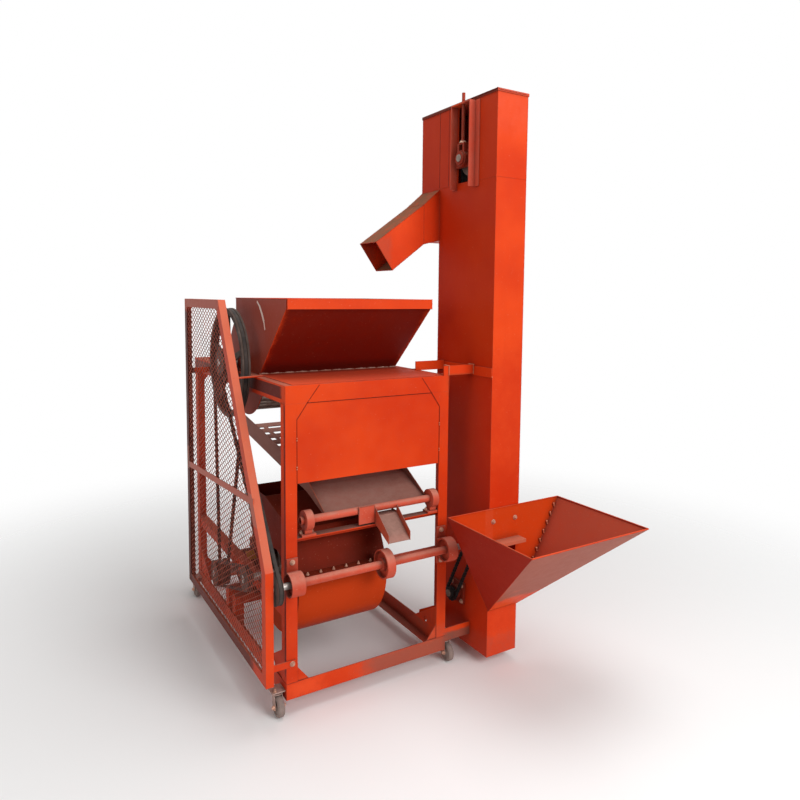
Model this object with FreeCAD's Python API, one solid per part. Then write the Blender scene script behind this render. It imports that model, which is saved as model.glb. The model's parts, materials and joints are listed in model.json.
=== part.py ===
import FreeCAD, Part
import math
import os

# Peanut sheller with bucket elevator. Millimetres, +Z up, elevator on the right, feed side at the front.
# Places are measured from the front left foot of the frame; save() moves them to the middle of the footprint.

# Main frame of steel angle
FRAME_WIDTH = 720.0
FRAME_DEPTH = 1240.0
FRAME_TOP = 1244.0
FRAME_FOOT = 61.0
ANGLE_LEG = 45.0
ANGLE_WALL = 4.0
TOP_BEAM_HEIGHT = 67.0
FOOT_BEAM_HEIGHT = 62.0
GUSSET_REACH_X = 134.0
GUSSET_REACH_Z = 165.0
SIDE_GUSSET_REACH_Y = 292.0
SIDE_GUSSET_REACH_Z = 198.0
SIDE_GUSSET_END = 14.0
GUSSET_HOLE_R = 12.5
GUSSET_WALL = 4.0

# Front panel
PANEL_BOTTOM = 880.0
PANEL_SINK = 1.0
PANEL_CHAMFER_X = 41.0
PANEL_CHAMFER_Z = 59.0
SHEET = 2.0

# Feed hopper over the shelling drum
HOPPER_TOP = 1555.0
HOPPER_LIP_HEIGHT = 38.0
HOPPER_FRONT = 85.0
HOPPER_BACK = 680.0
HOPPER_WALL_INSET = 40.0
HOPPER_FOOT_LAP = 20.0
HOPPER_LIP_FOLD = 12.0
DECK_FRONT = 8.0

# Shelling drum
DRUM_Y = 567.0
BLOCK_HEIGHT = 36.5
BLOCK_WIDTH = 34.0
DRUM_SHAFT_R = 17.5
CASING_R = 217.0
CONCAVE_R = 203.0
CONCAVE_BAR = 8.0
CONCAVE_BAR_STEP = 7.5
BEATER_R = 190.0
BEATER_BAR_R = 11.0
BEATER_BARS = 6
SPIDER_R = 184.0
SPIDER_WALL = 6.0
SPIDERS = 3

# Pulleys and belts: planes are the outer faces of the grooves, counted leftwards from the frame
INNER_BELT_X = -29.0
OUTER_BELT_X = -60.0
PULLEY_WIDTH = 34.0
SMALL_PULLEY_WIDTH = 20.0
DRUM_PULLEY_R = 232.0
DRUM_PULLEY_SPOKES = 5
COUNTER_PULLEY_R = 60.0
LAY_PULLEY_R = 60.0
FAN_PULLEY_R = 52.0
MOTOR_PULLEY_R = 58.0
BELT_WIDTH = 13.0
BELT_DEPTH = 9.0
GROOVE_DEPTH = 11.0
RUN_CLEAR = 0.5
SHAFT_CLEAR = 0.08
SHAFT_END = 4.0

# Fan
FAN_Y = 272.0
FAN_Z = 443.0
FAN_CASE_R = 235.0
FAN_LEFT = 66.0
FAN_RIGHT = 450.0
FAN_INLET_R = 95.0
FAN_WHEEL_R = 178.0
FAN_BLADES = 6
FAN_SHAFT_R = 15.0
FAN_RAIL_TOP = 515.0
FAN_RAIL_LEG = 30.0
FAN_SHELF_LEG = 40.0
FAN_SHELF_REACH = 120.0
FAN_BROW = (70.0, 150.0)
FAN_BELLY_TURN = 38.0
FAN_SHOULDER = 40.0
FAN_MOUTH_TOP = 726.0
FAN_MOUTH_BACK = 585.0
FAN_MOUTH_DEPTH = 190.0
FAN_LIP_LAP = 12.0
ECCENTRIC_THROW = 3.0
ECCENTRIC_R = 24.0
ECCENTRIC_WIDTH = 16.0
ECCENTRIC_GAP = 3.0

# Motor
MOTOR_Y = 690.0
MOTOR_Z = 312.0
MOTOR_R = 88.0
MOTOR_LENGTH = 270.0
MOTOR_LEFT = 40.0
MOTOR_SHAFT_R = 14.0
MOTOR_BELL = 30.0
MOTOR_COWL = 70.0
TERMINAL_BOX_X = 70.0
TERMINAL_BOX_WIDTH = 100.0
TERMINAL_BOX_DEPTH = 90.0
TERMINAL_BOX_RISE = 34.0
TERMINAL_BOX_SINK = 28.0
GLAND_LENGTH = 24.0
GLAND_RISE = 8.0
GLAND_REACH = 19.0
GLAND_R = 11.0
GLAND_BORE_R = 5.0
GLAND_DEPTH = 30.0
MOTOR_FOOT_HEIGHT = 12.0
BENCH_RAIL_LEG = 40.0
BENCH_RAILS = (-70.0, 30.0)

# Lay shaft across the front
LAY_Y = -52.0
LAY_Z = 527.0
LAY_SHAFT_R = 12.5
LAY_TUBE_R = 15.5
LAY_LEFT_RING = (-13.0, 40.0, 43.5)
LAY_MIDDLE_RING = (372.0, 408.0, 57.0)
LAY_RIGHT_INSETS = (53.0, 11.0)
LAY_RIGHT_RING_R = 49.0
LAY_PLATE_WIDTH = 44.0
LAY_PLATE_WALL = 6.0
SPROCKET_GAP = 39.0
SPROCKET_TEETH = 12
SPROCKET_WALL = 5.0
SPROCKET_HUB = 7.0
CHAIN_PITCH = 15.875
CHAIN_ROLLER_R = 5.0
CHAIN_PLATE_HEIGHT = 13.0
CHAIN_PLATE_WALL = 1.5

# Rocking sieve
ROCKER_Y = 24.0
ROCKER_Z = 730.0
ROCKER_TUBE_R = 15.0
ROCKER_RING_R = 37.5
ROCKER_RING_WIDTH = 30.0
ROCKER_LEFT = 80.0
ROCKER_RIGHT_INSET = 79.0
ROCKER_ANGLE_TOP = 672.0
ROCKER_ANGLE_LEG = 40.0
ROCKER_ANGLE_DROP = 26.0
TRAY_LEFT = 175.0
TRAY_RIGHT_INSET = 84.0
TUBE_PLATE_LEFT = 305.0
TUBE_PLATE_SIDE = 70.0
TRAY_FRONT = (46.0, 730.0)
TRAY_BACK = (205.0, 800.0)
SIEVE_BACK = (1000.0, 915.0)
SIEVE_WALL_HEIGHT = 60.0
LUG_WALL = 6.0
PIN_R = 7.0
PIN_GAP = 6.0
CHUTE_LEFT = 379.0
CHUTE_WIDTH = 95.0
CHUTE_TOP = (2.0, 704.0)
CHUTE_END = (-100.0, 625.0)
CHUTE_WALL_HEIGHT = 32.0

# Bucket elevator
TOWER_GAP = 131.0
TOWER_WIDTH = 158.0
TOWER_FRONT = -120.0
TOWER_DEPTH = 395.0
TOWER_FOOT = 45.0
HEAD_HEIGHT = 344.0
HEAD_DEPTH = 539.0
TOWER_TOP = 2394.0
LID_HEIGHT = 12.0
LID_OVERHANG = 3.0
HEAD_SHAFT_Y = 84.0
HEAD_SHAFT_DROP = 244.0
BOOT_SHAFT_Z = 262.0
BOOT_FLANGE = 95.0
BOOT_FLANGE_WALL = 9.0
BOOT_HUB = 24.0
BOOT_BOLT_SPACING = 70.0
ELEVATOR_PULLEY_R = 68.0
ELEVATOR_SHAFT_R = 15.0
ELEVATOR_BELT = 5.0
ELEVATOR_BELT_WIDTH = 100.0
BUCKET_PITCH = 180.0
BUCKET_REACH = 58.0
BUCKET_HEIGHT = 70.0
BUCKET_WALL = 2.0
BUCKET_START = 60.0
TAKE_UP_TRAVEL = 30.0
TAKE_UP_SLOT = 108.0
TAKE_UP_SLOT_BELOW = 95.0
TAKE_UP_GAP = 122.0
TAKE_UP_BLOCK = 68.0
TAKE_UP_BLOCK_TOP = 64.0
TAKE_UP_WINDOW = 24.0
TAKE_UP_WALL = 28.0
TAKE_UP_WING = 10.0
RAIL_WALL = 4.0
RAIL_LEG = 32.0
RAIL_DEPTH = 34.0
RAIL_BELOW = 123.0
RAIL_TOP_GAP = 4.0
SCREW_R = 7.0
SCREW_STUB = 12.0
HUB_STEP = 8.0
SPOUT_BEND_REACH = 83.0
SPOUT_BEND_DROPS = (419.0, 593.0)
SPOUT_START_DROPS = (573.0, 348.0)
SPOUT_MOUTH_REACHES = (326.0, 243.0)
SPOUT_MOUTH_RISES = (244.0, 127.0)
SPOUT_LIP = 30.0
GATE_MARGIN = 8.0
INLET_HOPPER_REACH = 214.0
INLET_HOPPER_WIDTH = 600.0
INLET_HOPPER_FRONT = -610.0
INLET_RIM_Z = 688.0
INLET_NECK_Z = 254.0
INLET_NECK_DEPTH = 8.0
INLET_TOP = 550.0
INLET_HOOD_DEPTH = 52.0
INLET_MARGIN = 14.0
INLET_SILL = 10.0
BRACKET_LEG = 40.0
BRACKET_LAP = 26.0
BRACKET_WALL = 4.0
BRACKET_REAR_GAP = 20.0
UPPER_BRACKET_Z = 1239.0
LOWER_BRACKET_Z = 98.0
LOWER_BRACKET_LEG = 56.0

# Belt guard on the left
GUARD_GAP = 80.0
GUARD_DEPTH = 30.0
GUARD_FRONT = -85.0
GUARD_BACK = 985.0
GUARD_FOOT = 185.0
GUARD_TOP = 1548.0
GUARD_KNEE_Z = 603.0
GUARD_TOP_FRONT = 444.0
GUARD_FLANGE = 38.0
GUARD_WALL = 3.0
MESH_WIRE = 2.5
MESH_LONG = 42.0
MESH_SHORT = 23.0
MESH_LAP = 12.0
BRACE_WIDTH = 26.0
BRACE_BACK_Z = 748.0
BRACE_FRONT_Z = 812.0
STRAP_WALL = 4.0
STRAP_WIDTH = 26.0
STRAP_REAR_Z = 1194.0
STRAP_LEAN = 30.0
STRAP_REACH = 30.0

# Casters
WHEEL_R = 38.0
WHEEL_WIDTH = 25.0
CASTER_OUT = 24.0
CASTER_INSET_Y = 37.0
CASTER_TRAIL = 20.0
AXLE_R = 5.0
FORK_WALL = 2.5
FORK_CLEAR = 1.5
FORK_HALF_DEPTH = 16.0
CROWN_R = 22.0
CROWN_HEIGHT = 4.0
CROWN_GAP = 8.0
CASTER_PLATE_TOP = 97.7
CASTER_PLATE = 56.0
CASTER_PLATE_WALL = 4.0

# Bolts
BOLT_R = 4.0
BOLT_HEAD_ACROSS = 13.0
BOLT_HEAD_HEIGHT = 5.5
SEAT = 0.3

V = FreeCAD.Vector
HOPPER_LEFT = HOPPER_WALL_INSET
HOPPER_RIGHT = FRAME_WIDTH - HOPPER_WALL_INSET
DRUM_Z = FRAME_TOP + BLOCK_HEIGHT
CASING_LEFT = ANGLE_LEG
CASING_RIGHT = FRAME_WIDTH - ANGLE_LEG
LAY_RIGHT_RING = (FRAME_WIDTH - LAY_RIGHT_INSETS[0], FRAME_WIDTH - LAY_RIGHT_INSETS[1], LAY_RIGHT_RING_R)
ROCKER_RIGHT = FRAME_WIDTH - ROCKER_RIGHT_INSET
TRAY_RIGHT = FRAME_WIDTH - TRAY_RIGHT_INSET
TOWER_LEFT = FRAME_WIDTH + TOWER_GAP
LAY_SPROCKET_X = TOWER_LEFT - SPROCKET_GAP
HEAD_FOOT = TOWER_TOP - HEAD_HEIGHT
HEAD_SHAFT_Z = TOWER_TOP - HEAD_SHAFT_DROP
SPOUT_START = (TOWER_TOP - SPOUT_START_DROPS[0], TOWER_TOP - SPOUT_START_DROPS[1])
SPOUT_BEND = (TOWER_LEFT - SPOUT_BEND_REACH, TOWER_TOP - SPOUT_BEND_DROPS[0], TOWER_TOP - SPOUT_BEND_DROPS[1])
SPOUT_MOUTH_TOP = (TOWER_LEFT - SPOUT_MOUTH_REACHES[0], HOPPER_TOP + SPOUT_MOUTH_RISES[0])
SPOUT_MOUTH_BOTTOM = (TOWER_LEFT - SPOUT_MOUTH_REACHES[1], HOPPER_TOP + SPOUT_MOUTH_RISES[1])
INLET_HOPPER_LEFT = TOWER_LEFT - INLET_HOPPER_REACH
INLET_HOPPER_RIGHT = INLET_HOPPER_LEFT + INLET_HOPPER_WIDTH
TOWER_RIGHT = TOWER_LEFT + TOWER_WIDTH
TOWER_BACK = TOWER_FRONT + TOWER_DEPTH
HEAD_BACK = TOWER_FRONT + HEAD_DEPTH
GUARD_LEFT = -GUARD_GAP - GUARD_DEPTH
ORIGIN = V((GUARD_LEFT + INLET_HOPPER_RIGHT) / 2, (INLET_HOPPER_FRONT + FRAME_DEPTH) / 2, 0)


def box(x0, x1, y0, y1, z0, z1):
    """Block between two corners."""
    return Part.makeBox(x1 - x0, y1 - y0, z1 - z0, V(x0, y0, z0))


def rod(axis, x, y, z, radius, length):
    """Round bar that starts at a point and runs along the axis letter."""
    direction = {"X": V(1, 0, 0), "Y": V(0, 1, 0), "Z": V(0, 0, 1)}[axis]
    return Part.makeCylinder(radius, length, V(x, y, z), direction)


def tube(axis, x, y, z, radius, bore, length):
    """Round bar with a bore along its axis."""
    return rod(axis, x, y, z, radius, length).cut(rod(axis, x, y, z, bore, length))


def prism(points, axis, start, length):
    """Outline in the plane across the axis, pushed along it."""
    if axis == "X":
        corners = [V(start, a, b) for a, b in points]
        path = V(length, 0, 0)
    elif axis == "Y":
        corners = [V(a, start, b) for a, b in points]
        path = V(0, length, 0)
    else:
        corners = [V(a, b, start) for a, b in points]
        path = V(0, 0, length)
    return Part.Face(Part.makePolygon(corners + corners[:1])).extrude(path)


def join(shapes):
    """Weld a list of shapes into one."""
    whole = shapes[0]
    if len(shapes) > 1:
        whole = whole.fuse(shapes[1:])
    return whole.removeSplitter()


def group(shapes):
    """Separate solids kept together in one node."""
    return Part.makeCompound(shapes)


def across(shape):
    """The same shape on the other side of the frame."""
    return shape.mirror(V(FRAME_WIDTH / 2, 0, 0), V(1, 0, 0))


def behind(shape):
    """The same shape at the other end of the frame."""
    return shape.mirror(V(0, FRAME_DEPTH / 2, 0), V(0, 1, 0))


def save(name, shape):
    """Move a node to the part's own origin and write it."""
    placed = shape.copy()
    placed.translate(ORIGIN * -1)
    placed.exportStep("parts/" + name + ".step")
    print(name, len(placed.Solids), round(placed.Volume / 1000), placed.isValid())


def slanted_sheet(start, end, x0, x1, wall):
    """Flat sheet between two (y, z) lines, with its thickness below them."""
    dy = end[0] - start[0]
    dz = end[1] - start[1]
    run = math.hypot(dy, dz)
    down = (dz / run * wall, -dy / run * wall)
    points = [start, end, (end[0] + down[0], end[1] + down[1]), (start[0] + down[0], start[1] + down[1])]
    return prism(points, "X", x0, x1 - x0)


def bolt(axis, x, y, z, grip, way=1):
    """Hexagon bolt: the head stands outside the point and the shank runs on through the grip."""
    radius = BOLT_HEAD_ACROSS / math.sqrt(3)
    turns = [math.radians(60 * k) for k in range(6)]
    ring = [(radius * math.cos(t), radius * math.sin(t)) for t in turns]
    one = prism(ring, "Z", 0, BOLT_HEAD_HEIGHT)
    if grip > 0:
        one = one.fuse(rod("Z", 0, 0, -grip, BOLT_R, grip))
    if axis == "X":
        one.rotate(V(0, 0, 0), V(0, 1, 0), 90 * way)
    elif axis == "Y":
        one.rotate(V(0, 0, 0), V(1, 0, 0), -90 * way)
    elif way < 0:
        one.rotate(V(0, 0, 0), V(1, 0, 0), 180)
    one.translate(V(x, y, z))
    return one


def loop_face(first, r1, second, r2, x):
    """Face inside an open belt round two circles (y, z, radius) in the plane at x."""
    dy = second[0] - first[0]
    dz = second[1] - first[1]
    lean = math.atan2(dz, dy)
    spread = math.acos((r1 - r2) / math.hypot(dy, dz))

    def at(centre, radius, angle):
        return V(x, centre[0] + radius * math.cos(angle), centre[1] + radius * math.sin(angle))

    a1 = at(first, r1, lean + spread)
    a2 = at(first, r1, lean + math.pi)
    a3 = at(first, r1, lean - spread)
    b1 = at(second, r2, lean - spread)
    b2 = at(second, r2, lean)
    b3 = at(second, r2, lean + spread)
    edges = [Part.Arc(a1, a2, a3).toShape(), Part.LineSegment(a3, b1).toShape()]
    edges += [Part.Arc(b1, b2, b3).toShape(), Part.LineSegment(b3, a1).toShape()]
    return Part.Face(Part.Wire(edges))


def belt_loop(first, r1, second, r2, x, width, thickness):
    """Belt band round two circles, from the seat radius outwards."""
    outer = loop_face(first, r1 + thickness, second, r2 + thickness, x).extrude(V(width, 0, 0))
    inner = loop_face(first, r1, second, r2, x).extrude(V(width, 0, 0))
    return outer.cut(inner)


def turned(profile, y, z):
    """Ring made by turning an (x, radius) outline round the axis along X through (y, z)."""
    corners = [V(a, y, z + r) for a, r in profile]
    face = Part.Face(Part.makePolygon(corners + corners[:1]))
    return face.revolve(V(0, y, z), V(1, 0, 0), 360)


def grooved_rim(middle, width, radius, inner, y, z):
    """Pulley rim with one V groove, centred on a plane."""
    half = BELT_WIDTH / 2
    x0 = middle - width / 2
    x1 = middle + width / 2
    floor = radius - GROOVE_DEPTH
    profile = [(x0, inner), (x0, radius), (middle - half - 2, radius), (middle - half - RUN_CLEAR, floor)]
    profile += [(middle + half + RUN_CLEAR, floor), (middle + half + 2, radius), (x1, radius), (x1, inner)]
    return turned(profile, y, z)


def pillow_block(x0, x1, y, z, foot, shaft_r):
    """Bearing block: a foot plate with a round housing over it, bored for the shaft."""
    middle = (x0 + x1) / 2
    wide = 2.1 * (z - foot)
    plate = box(x0, x1, y - wide / 2, y + wide / 2, foot, foot + 10)
    body = rod("X", x0 + 3, y, z, 0.78 * (z - foot), x1 - x0 - 6)
    neck = box(x0 + 3, x1 - 3, y - 0.6 * (z - foot), y + 0.6 * (z - foot), foot, z)
    collar = rod("X", middle - (x1 - x0) / 2, y, z, shaft_r + 6, x1 - x0)
    whole = join([plate, neck, body, collar])
    return whole.cut(rod("X", x0 - 1, y, z, shaft_r + SHAFT_CLEAR, x1 - x0 + 2))


def top_beams():
    """Four mitred angles round the top: the broad leg stands, the other lies inwards."""
    shell = box(0, FRAME_WIDTH, 0, FRAME_DEPTH, FRAME_TOP - TOP_BEAM_HEIGHT, FRAME_TOP)
    under = box(ANGLE_WALL, FRAME_WIDTH - ANGLE_WALL, ANGLE_WALL, FRAME_DEPTH - ANGLE_WALL,
                FRAME_TOP - TOP_BEAM_HEIGHT, FRAME_TOP - ANGLE_WALL)
    middle = box(ANGLE_LEG, FRAME_WIDTH - ANGLE_LEG, ANGLE_LEG, FRAME_DEPTH - ANGLE_LEG,
                 FRAME_TOP - ANGLE_WALL, FRAME_TOP)
    return mitred(shell.cut(under).cut(middle))


def foot_beams():
    """Four mitred angles round the foot: the broad leg stands, the other lies inwards at the bottom."""
    top = FRAME_FOOT + FOOT_BEAM_HEIGHT
    shell = box(0, FRAME_WIDTH, 0, FRAME_DEPTH, FRAME_FOOT, top)
    over = box(ANGLE_WALL, FRAME_WIDTH - ANGLE_WALL, ANGLE_WALL, FRAME_DEPTH - ANGLE_WALL,
               FRAME_FOOT + ANGLE_WALL, top)
    middle = box(ANGLE_LEG, FRAME_WIDTH - ANGLE_LEG, ANGLE_LEG, FRAME_DEPTH - ANGLE_LEG,
                 FRAME_FOOT, FRAME_FOOT + ANGLE_WALL)
    return mitred(shell.cut(over).cut(middle))


def mitred(ring):
    """Cut a rectangular ring into its four sides along the corner diagonals."""
    w = FRAME_WIDTH
    d = FRAME_DEPTH
    reach = w / 2
    front = [(0, 0), (w, 0), (reach, reach)]
    rear = [(0, d), (reach, d - reach), (w, d)]
    left = [(0, 0), (reach, reach), (reach, d - reach), (0, d)]
    right = [(w, 0), (w, d), (reach, d - reach), (reach, reach)]
    return [ring.common(prism(field, "Z", 0, FRAME_TOP)) for field in (front, rear, left, right)]


def posts():
    """Four corner angles between the foot beams and the top beams."""
    z0 = FRAME_FOOT + FOOT_BEAM_HEIGHT
    height = FRAME_TOP - TOP_BEAM_HEIGHT - z0
    a = ANGLE_LEG
    t = ANGLE_WALL
    front_left = prism([(0, 0), (a, 0), (a, t), (t, t), (t, a), (0, a)], "Z", z0, height)
    front = [front_left, across(front_left)]
    return front + [behind(post) for post in front]


def gusset(top):
    """Corner plate in the plane of the front, behind a beam and a post."""
    x0 = ANGLE_WALL
    z_beam = FRAME_TOP - ANGLE_WALL if top else FRAME_FOOT + ANGLE_WALL
    z_far = z_beam - GUSSET_REACH_Z if top else z_beam + GUSSET_REACH_Z
    points = [(x0, z_beam), (x0 + GUSSET_REACH_X, z_beam), (x0, z_far)]
    return prism(points, "Y", ANGLE_WALL, GUSSET_WALL)


def side_gusset():
    """Long corner plate inside the left side, with a round hole above the foot beam."""
    y0 = ANGLE_WALL + GUSSET_WALL
    y1 = y0 + SIDE_GUSSET_REACH_Y
    z0 = FRAME_FOOT + ANGLE_WALL
    points = [(y0, z0), (y1, z0), (y1, z0 + SIDE_GUSSET_END), (y0, z0 + SIDE_GUSSET_REACH_Z)]
    plate = prism(points, "X", ANGLE_WALL, GUSSET_WALL)
    hole_y = y0 + SIDE_GUSSET_REACH_Y * 0.46
    hole_z = z0 + SIDE_GUSSET_REACH_Z * 0.37
    return plate.cut(rod("X", 0, hole_y, hole_z, GUSSET_HOLE_R, 2 * ANGLE_LEG))


def panel_corner():
    """Corner plate that fills the chamfered corner of the front panel, flush with the post."""
    left = ANGLE_LEG
    top = FRAME_TOP - TOP_BEAM_HEIGHT
    points = [(left, top), (left + PANEL_CHAMFER_X, top), (left, top - PANEL_CHAMFER_Z)]
    return prism(points, "Y", 0, ANGLE_WALL)


def corner_gussets():
    """Corner plates: at the foot all round, at the top in the rear, and flush ones beside the front panel."""
    low = [gusset(False), side_gusset()]
    low += [across(plate) for plate in low]
    rear_low = [behind(plate) for plate in low]
    high = behind(gusset(True))
    flush = panel_corner()
    return group(low + rear_low + [high, across(high), flush, across(flush)])


def front_panel():
    """Sheet between the front posts with chamfered top corners."""
    left = ANGLE_LEG
    right = FRAME_WIDTH - ANGLE_LEG
    top = FRAME_TOP - TOP_BEAM_HEIGHT
    cx = PANEL_CHAMFER_X
    cz = PANEL_CHAMFER_Z
    points = [(left, PANEL_BOTTOM), (right, PANEL_BOTTOM), (right, top - cz), (right - cx, top)]
    points += [(left + cx, top), (left, top - cz)]
    sheet = prism(points, "Y", PANEL_SINK, SHEET)
    fold = box(left, right, PANEL_SINK, PANEL_SINK + 15, PANEL_BOTTOM, PANEL_BOTTOM + SHEET)
    return join([sheet, fold])


def feed_hopper():
    """Side walls, sloping front plate with its lip, back wall and the drum cover behind it, on a deck."""
    lip_foot = HOPPER_TOP - HOPPER_LIP_HEIGHT
    reach = math.sqrt(CASING_R ** 2 - (HOPPER_BACK - DRUM_Y) ** 2)
    cover_start = (HOPPER_BACK, DRUM_Z + reach)
    cover_end = (DRUM_Y + CASING_R, DRUM_Z)
    halfway = math.atan2(reach, HOPPER_BACK - DRUM_Y) / 2
    cover_middle = (DRUM_Y + CASING_R * math.cos(halfway), DRUM_Z + CASING_R * math.sin(halfway))
    foot_front = DRUM_Y - math.sqrt(CASING_R ** 2 - BLOCK_HEIGHT ** 2) + HOPPER_FOOT_LAP
    slope = (foot_front - HOPPER_FRONT) / (lip_foot - FRAME_TOP)

    def outline(inset, base, top):
        shift = inset * math.hypot(1, slope)
        bend = lip_foot + (shift - inset) / slope
        p = [V(0, HOPPER_FRONT + inset, top), V(0, HOPPER_FRONT + inset, bend)]
        p += [V(0, foot_front + shift + (FRAME_TOP - base) * slope, base), V(0, cover_end[0] - inset, base)]
        p += [V(0, cover_end[0] - inset, cover_end[1])]
        edges = [Part.LineSegment(p[k], p[k + 1]).toShape() for k in range(4)]
        shrink = (CASING_R - inset) / CASING_R
        arc_points = [V(0, DRUM_Y + (y - DRUM_Y) * shrink, DRUM_Z + (z - DRUM_Z) * shrink)
                      for y, z in (cover_end, cover_middle, cover_start)]
        edges.append(Part.Arc(*arc_points).toShape())
        wall_top = V(0, arc_points[2].y, top)
        edges.append(Part.LineSegment(arc_points[2], wall_top).toShape())
        edges.append(Part.LineSegment(wall_top, p[0]).toShape())
        return Part.Face(Part.Wire(edges))

    width = HOPPER_RIGHT - HOPPER_LEFT
    outer = outline(0, FRAME_TOP, HOPPER_TOP).extrude(V(width, 0, 0))
    inner = outline(SHEET, FRAME_TOP - 5, HOPPER_TOP + 5).extrude(V(width - 2 * SHEET, 0, 0))
    outer.translate(V(HOPPER_LEFT, 0, 0))
    inner.translate(V(HOPPER_LEFT + SHEET, 0, 0))
    shell = outer.cut(inner)
    hole = rod("X", HOPPER_LEFT - 5, DRUM_Y, DRUM_Z, DRUM_SHAFT_R + 5, width + 10)
    fold = HOPPER_FRONT - HOPPER_LIP_FOLD
    lip = box(HOPPER_LEFT, HOPPER_RIGHT, fold, HOPPER_FRONT + SHEET, HOPPER_TOP - SHEET, HOPPER_TOP)
    drop = box(HOPPER_LEFT, HOPPER_RIGHT, fold - SHEET, fold, lip_foot, HOPPER_TOP)
    floor = FRAME_TOP + SHEET
    deck = box(CASING_LEFT - 15, CASING_RIGHT + 15, DECK_FRONT, foot_front + SHEET, FRAME_TOP, floor)
    rear_foot = box(HOPPER_LEFT, HOPPER_RIGHT, cover_end[0] - SHEET, cover_end[0] + 25, FRAME_TOP, floor)
    throat = box(HOPPER_LEFT + SHEET, HOPPER_RIGHT - SHEET, foot_front + 2 * SHEET, cover_end[0] - SHEET,
                 FRAME_TOP - 5, floor)
    return join([shell, lip, drop, deck, rear_foot]).cut(throat).cut(hole)


def half_drum(radius, x0, x1, top):
    """Part of a round drum that lies below a height."""
    whole = rod("X", x0, DRUM_Y, DRUM_Z, radius, x1 - x0)
    return whole.common(box(x0, x1, DRUM_Y - radius - 1, DRUM_Y + radius + 1, DRUM_Z - radius - 1, top))


def drum_casing():
    """Side plates of the lower half of the drum, hung between the side beams."""
    plates = []
    for x0 in (CASING_LEFT, CASING_RIGHT - 3):
        plates.append(half_drum(CASING_R + 12, x0, x0 + 3, FRAME_TOP))
    return group(plates)


def concave_screen():
    """Grate of square bars under the drum, carried by three curved ribs."""
    x0 = CASING_LEFT + 3
    x1 = CASING_RIGHT - 3
    top = FRAME_TOP
    ribs = []
    for x in (x0, (x0 + x1) / 2 - 4, x1 - 8):
        outer = half_drum(CONCAVE_R + CONCAVE_BAR + 8, x, x + 8, top)
        ribs.append(outer.cut(rod("X", x - 1, DRUM_Y, DRUM_Z, CONCAVE_R + CONCAVE_BAR - 2, 10)))
    low = math.degrees(math.asin(BLOCK_HEIGHT / CONCAVE_R)) + 3
    count = int((180 - 2 * low) / CONCAVE_BAR_STEP)
    start = -90 - count * CONCAVE_BAR_STEP / 2
    bars = []
    for k in range(count + 1):
        bar = box(x0, x1, CONCAVE_R, CONCAVE_R + CONCAVE_BAR, -4, 4)
        bar.rotate(V(0, 0, 0), V(1, 0, 0), start + k * CONCAVE_BAR_STEP)
        bar.translate(V(0, DRUM_Y, DRUM_Z))
        bars.append(bar)
    return join(ribs + bars)


def drum_shaft():
    """Shaft that carries the beater drum and both pulleys."""
    x0 = OUTER_BELT_X - SMALL_PULLEY_WIDTH / 2 - SHAFT_END
    return rod("X", x0, DRUM_Y, DRUM_Z, DRUM_SHAFT_R, FRAME_WIDTH + 6 - x0)


def beater_drum():
    """Spider discs on a hub tube with round beater bars near their rims."""
    x0 = HOPPER_LEFT + 26
    x1 = HOPPER_RIGHT - 26
    parts = [rod("X", x0, DRUM_Y, DRUM_Z, DRUM_SHAFT_R + 12, x1 - x0)]
    spacing = (x1 - x0 - SPIDER_WALL) / (SPIDERS - 1)
    for k in range(SPIDERS):
        disc = rod("X", x0 + k * spacing, DRUM_Y, DRUM_Z, SPIDER_R, SPIDER_WALL)
        for j in range(BEATER_BARS):
            a = math.radians(360 / BEATER_BARS * (j + 0.5))
            y = DRUM_Y + SPIDER_R * 0.58 * math.cos(a)
            z = DRUM_Z + SPIDER_R * 0.58 * math.sin(a)
            disc = disc.cut(rod("X", x0 + k * spacing - 1, y, z, SPIDER_R * 0.2, SPIDER_WALL + 2))
        parts.append(disc)
    seat = BEATER_R - BEATER_BAR_R
    for j in range(BEATER_BARS):
        a = math.radians(360 / BEATER_BARS * j)
        y = DRUM_Y + seat * math.cos(a)
        z = DRUM_Z + seat * math.sin(a)
        parts.append(rod("X", x0, y, z, BEATER_BAR_R, x1 - x0))
    bore = rod("X", x0 - 1, DRUM_Y, DRUM_Z, DRUM_SHAFT_R + SHAFT_CLEAR, x1 - x0 + 2)
    return join(parts).cut(bore)


def drum_pulley():
    """Big spoked pulley with a small pulley for the lay shaft on the outside of its hub."""
    rim_inner = DRUM_PULLEY_R - GROOVE_DEPTH - 9
    hub_x0 = OUTER_BELT_X - SMALL_PULLEY_WIDTH / 2
    hub_x1 = INNER_BELT_X + PULLEY_WIDTH / 2
    hub_r = DRUM_SHAFT_R + 14
    parts = [grooved_rim(INNER_BELT_X, PULLEY_WIDTH, DRUM_PULLEY_R, rim_inner, DRUM_Y, DRUM_Z)]
    parts.append(grooved_rim(OUTER_BELT_X, SMALL_PULLEY_WIDTH, COUNTER_PULLEY_R, hub_r - 2, DRUM_Y, DRUM_Z))
    parts.append(rod("X", hub_x0, DRUM_Y, DRUM_Z, hub_r, hub_x1 - hub_x0))
    for k in range(DRUM_PULLEY_SPOKES):
        spoke = prism([(-15, hub_r - 4), (15, hub_r - 4), (10, rim_inner + 3), (-10, rim_inner + 3)],
                      "X", INNER_BELT_X - 5, 10)
        spoke.rotate(V(0, 0, 0), V(1, 0, 0), 360 / DRUM_PULLEY_SPOKES * k)
        spoke.translate(V(0, DRUM_Y, DRUM_Z))
        parts.append(spoke)
    bore = rod("X", hub_x0 - 1, DRUM_Y, DRUM_Z, DRUM_SHAFT_R + SHAFT_CLEAR, hub_x1 - hub_x0 + 2)
    return join(parts).cut(bore)


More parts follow.
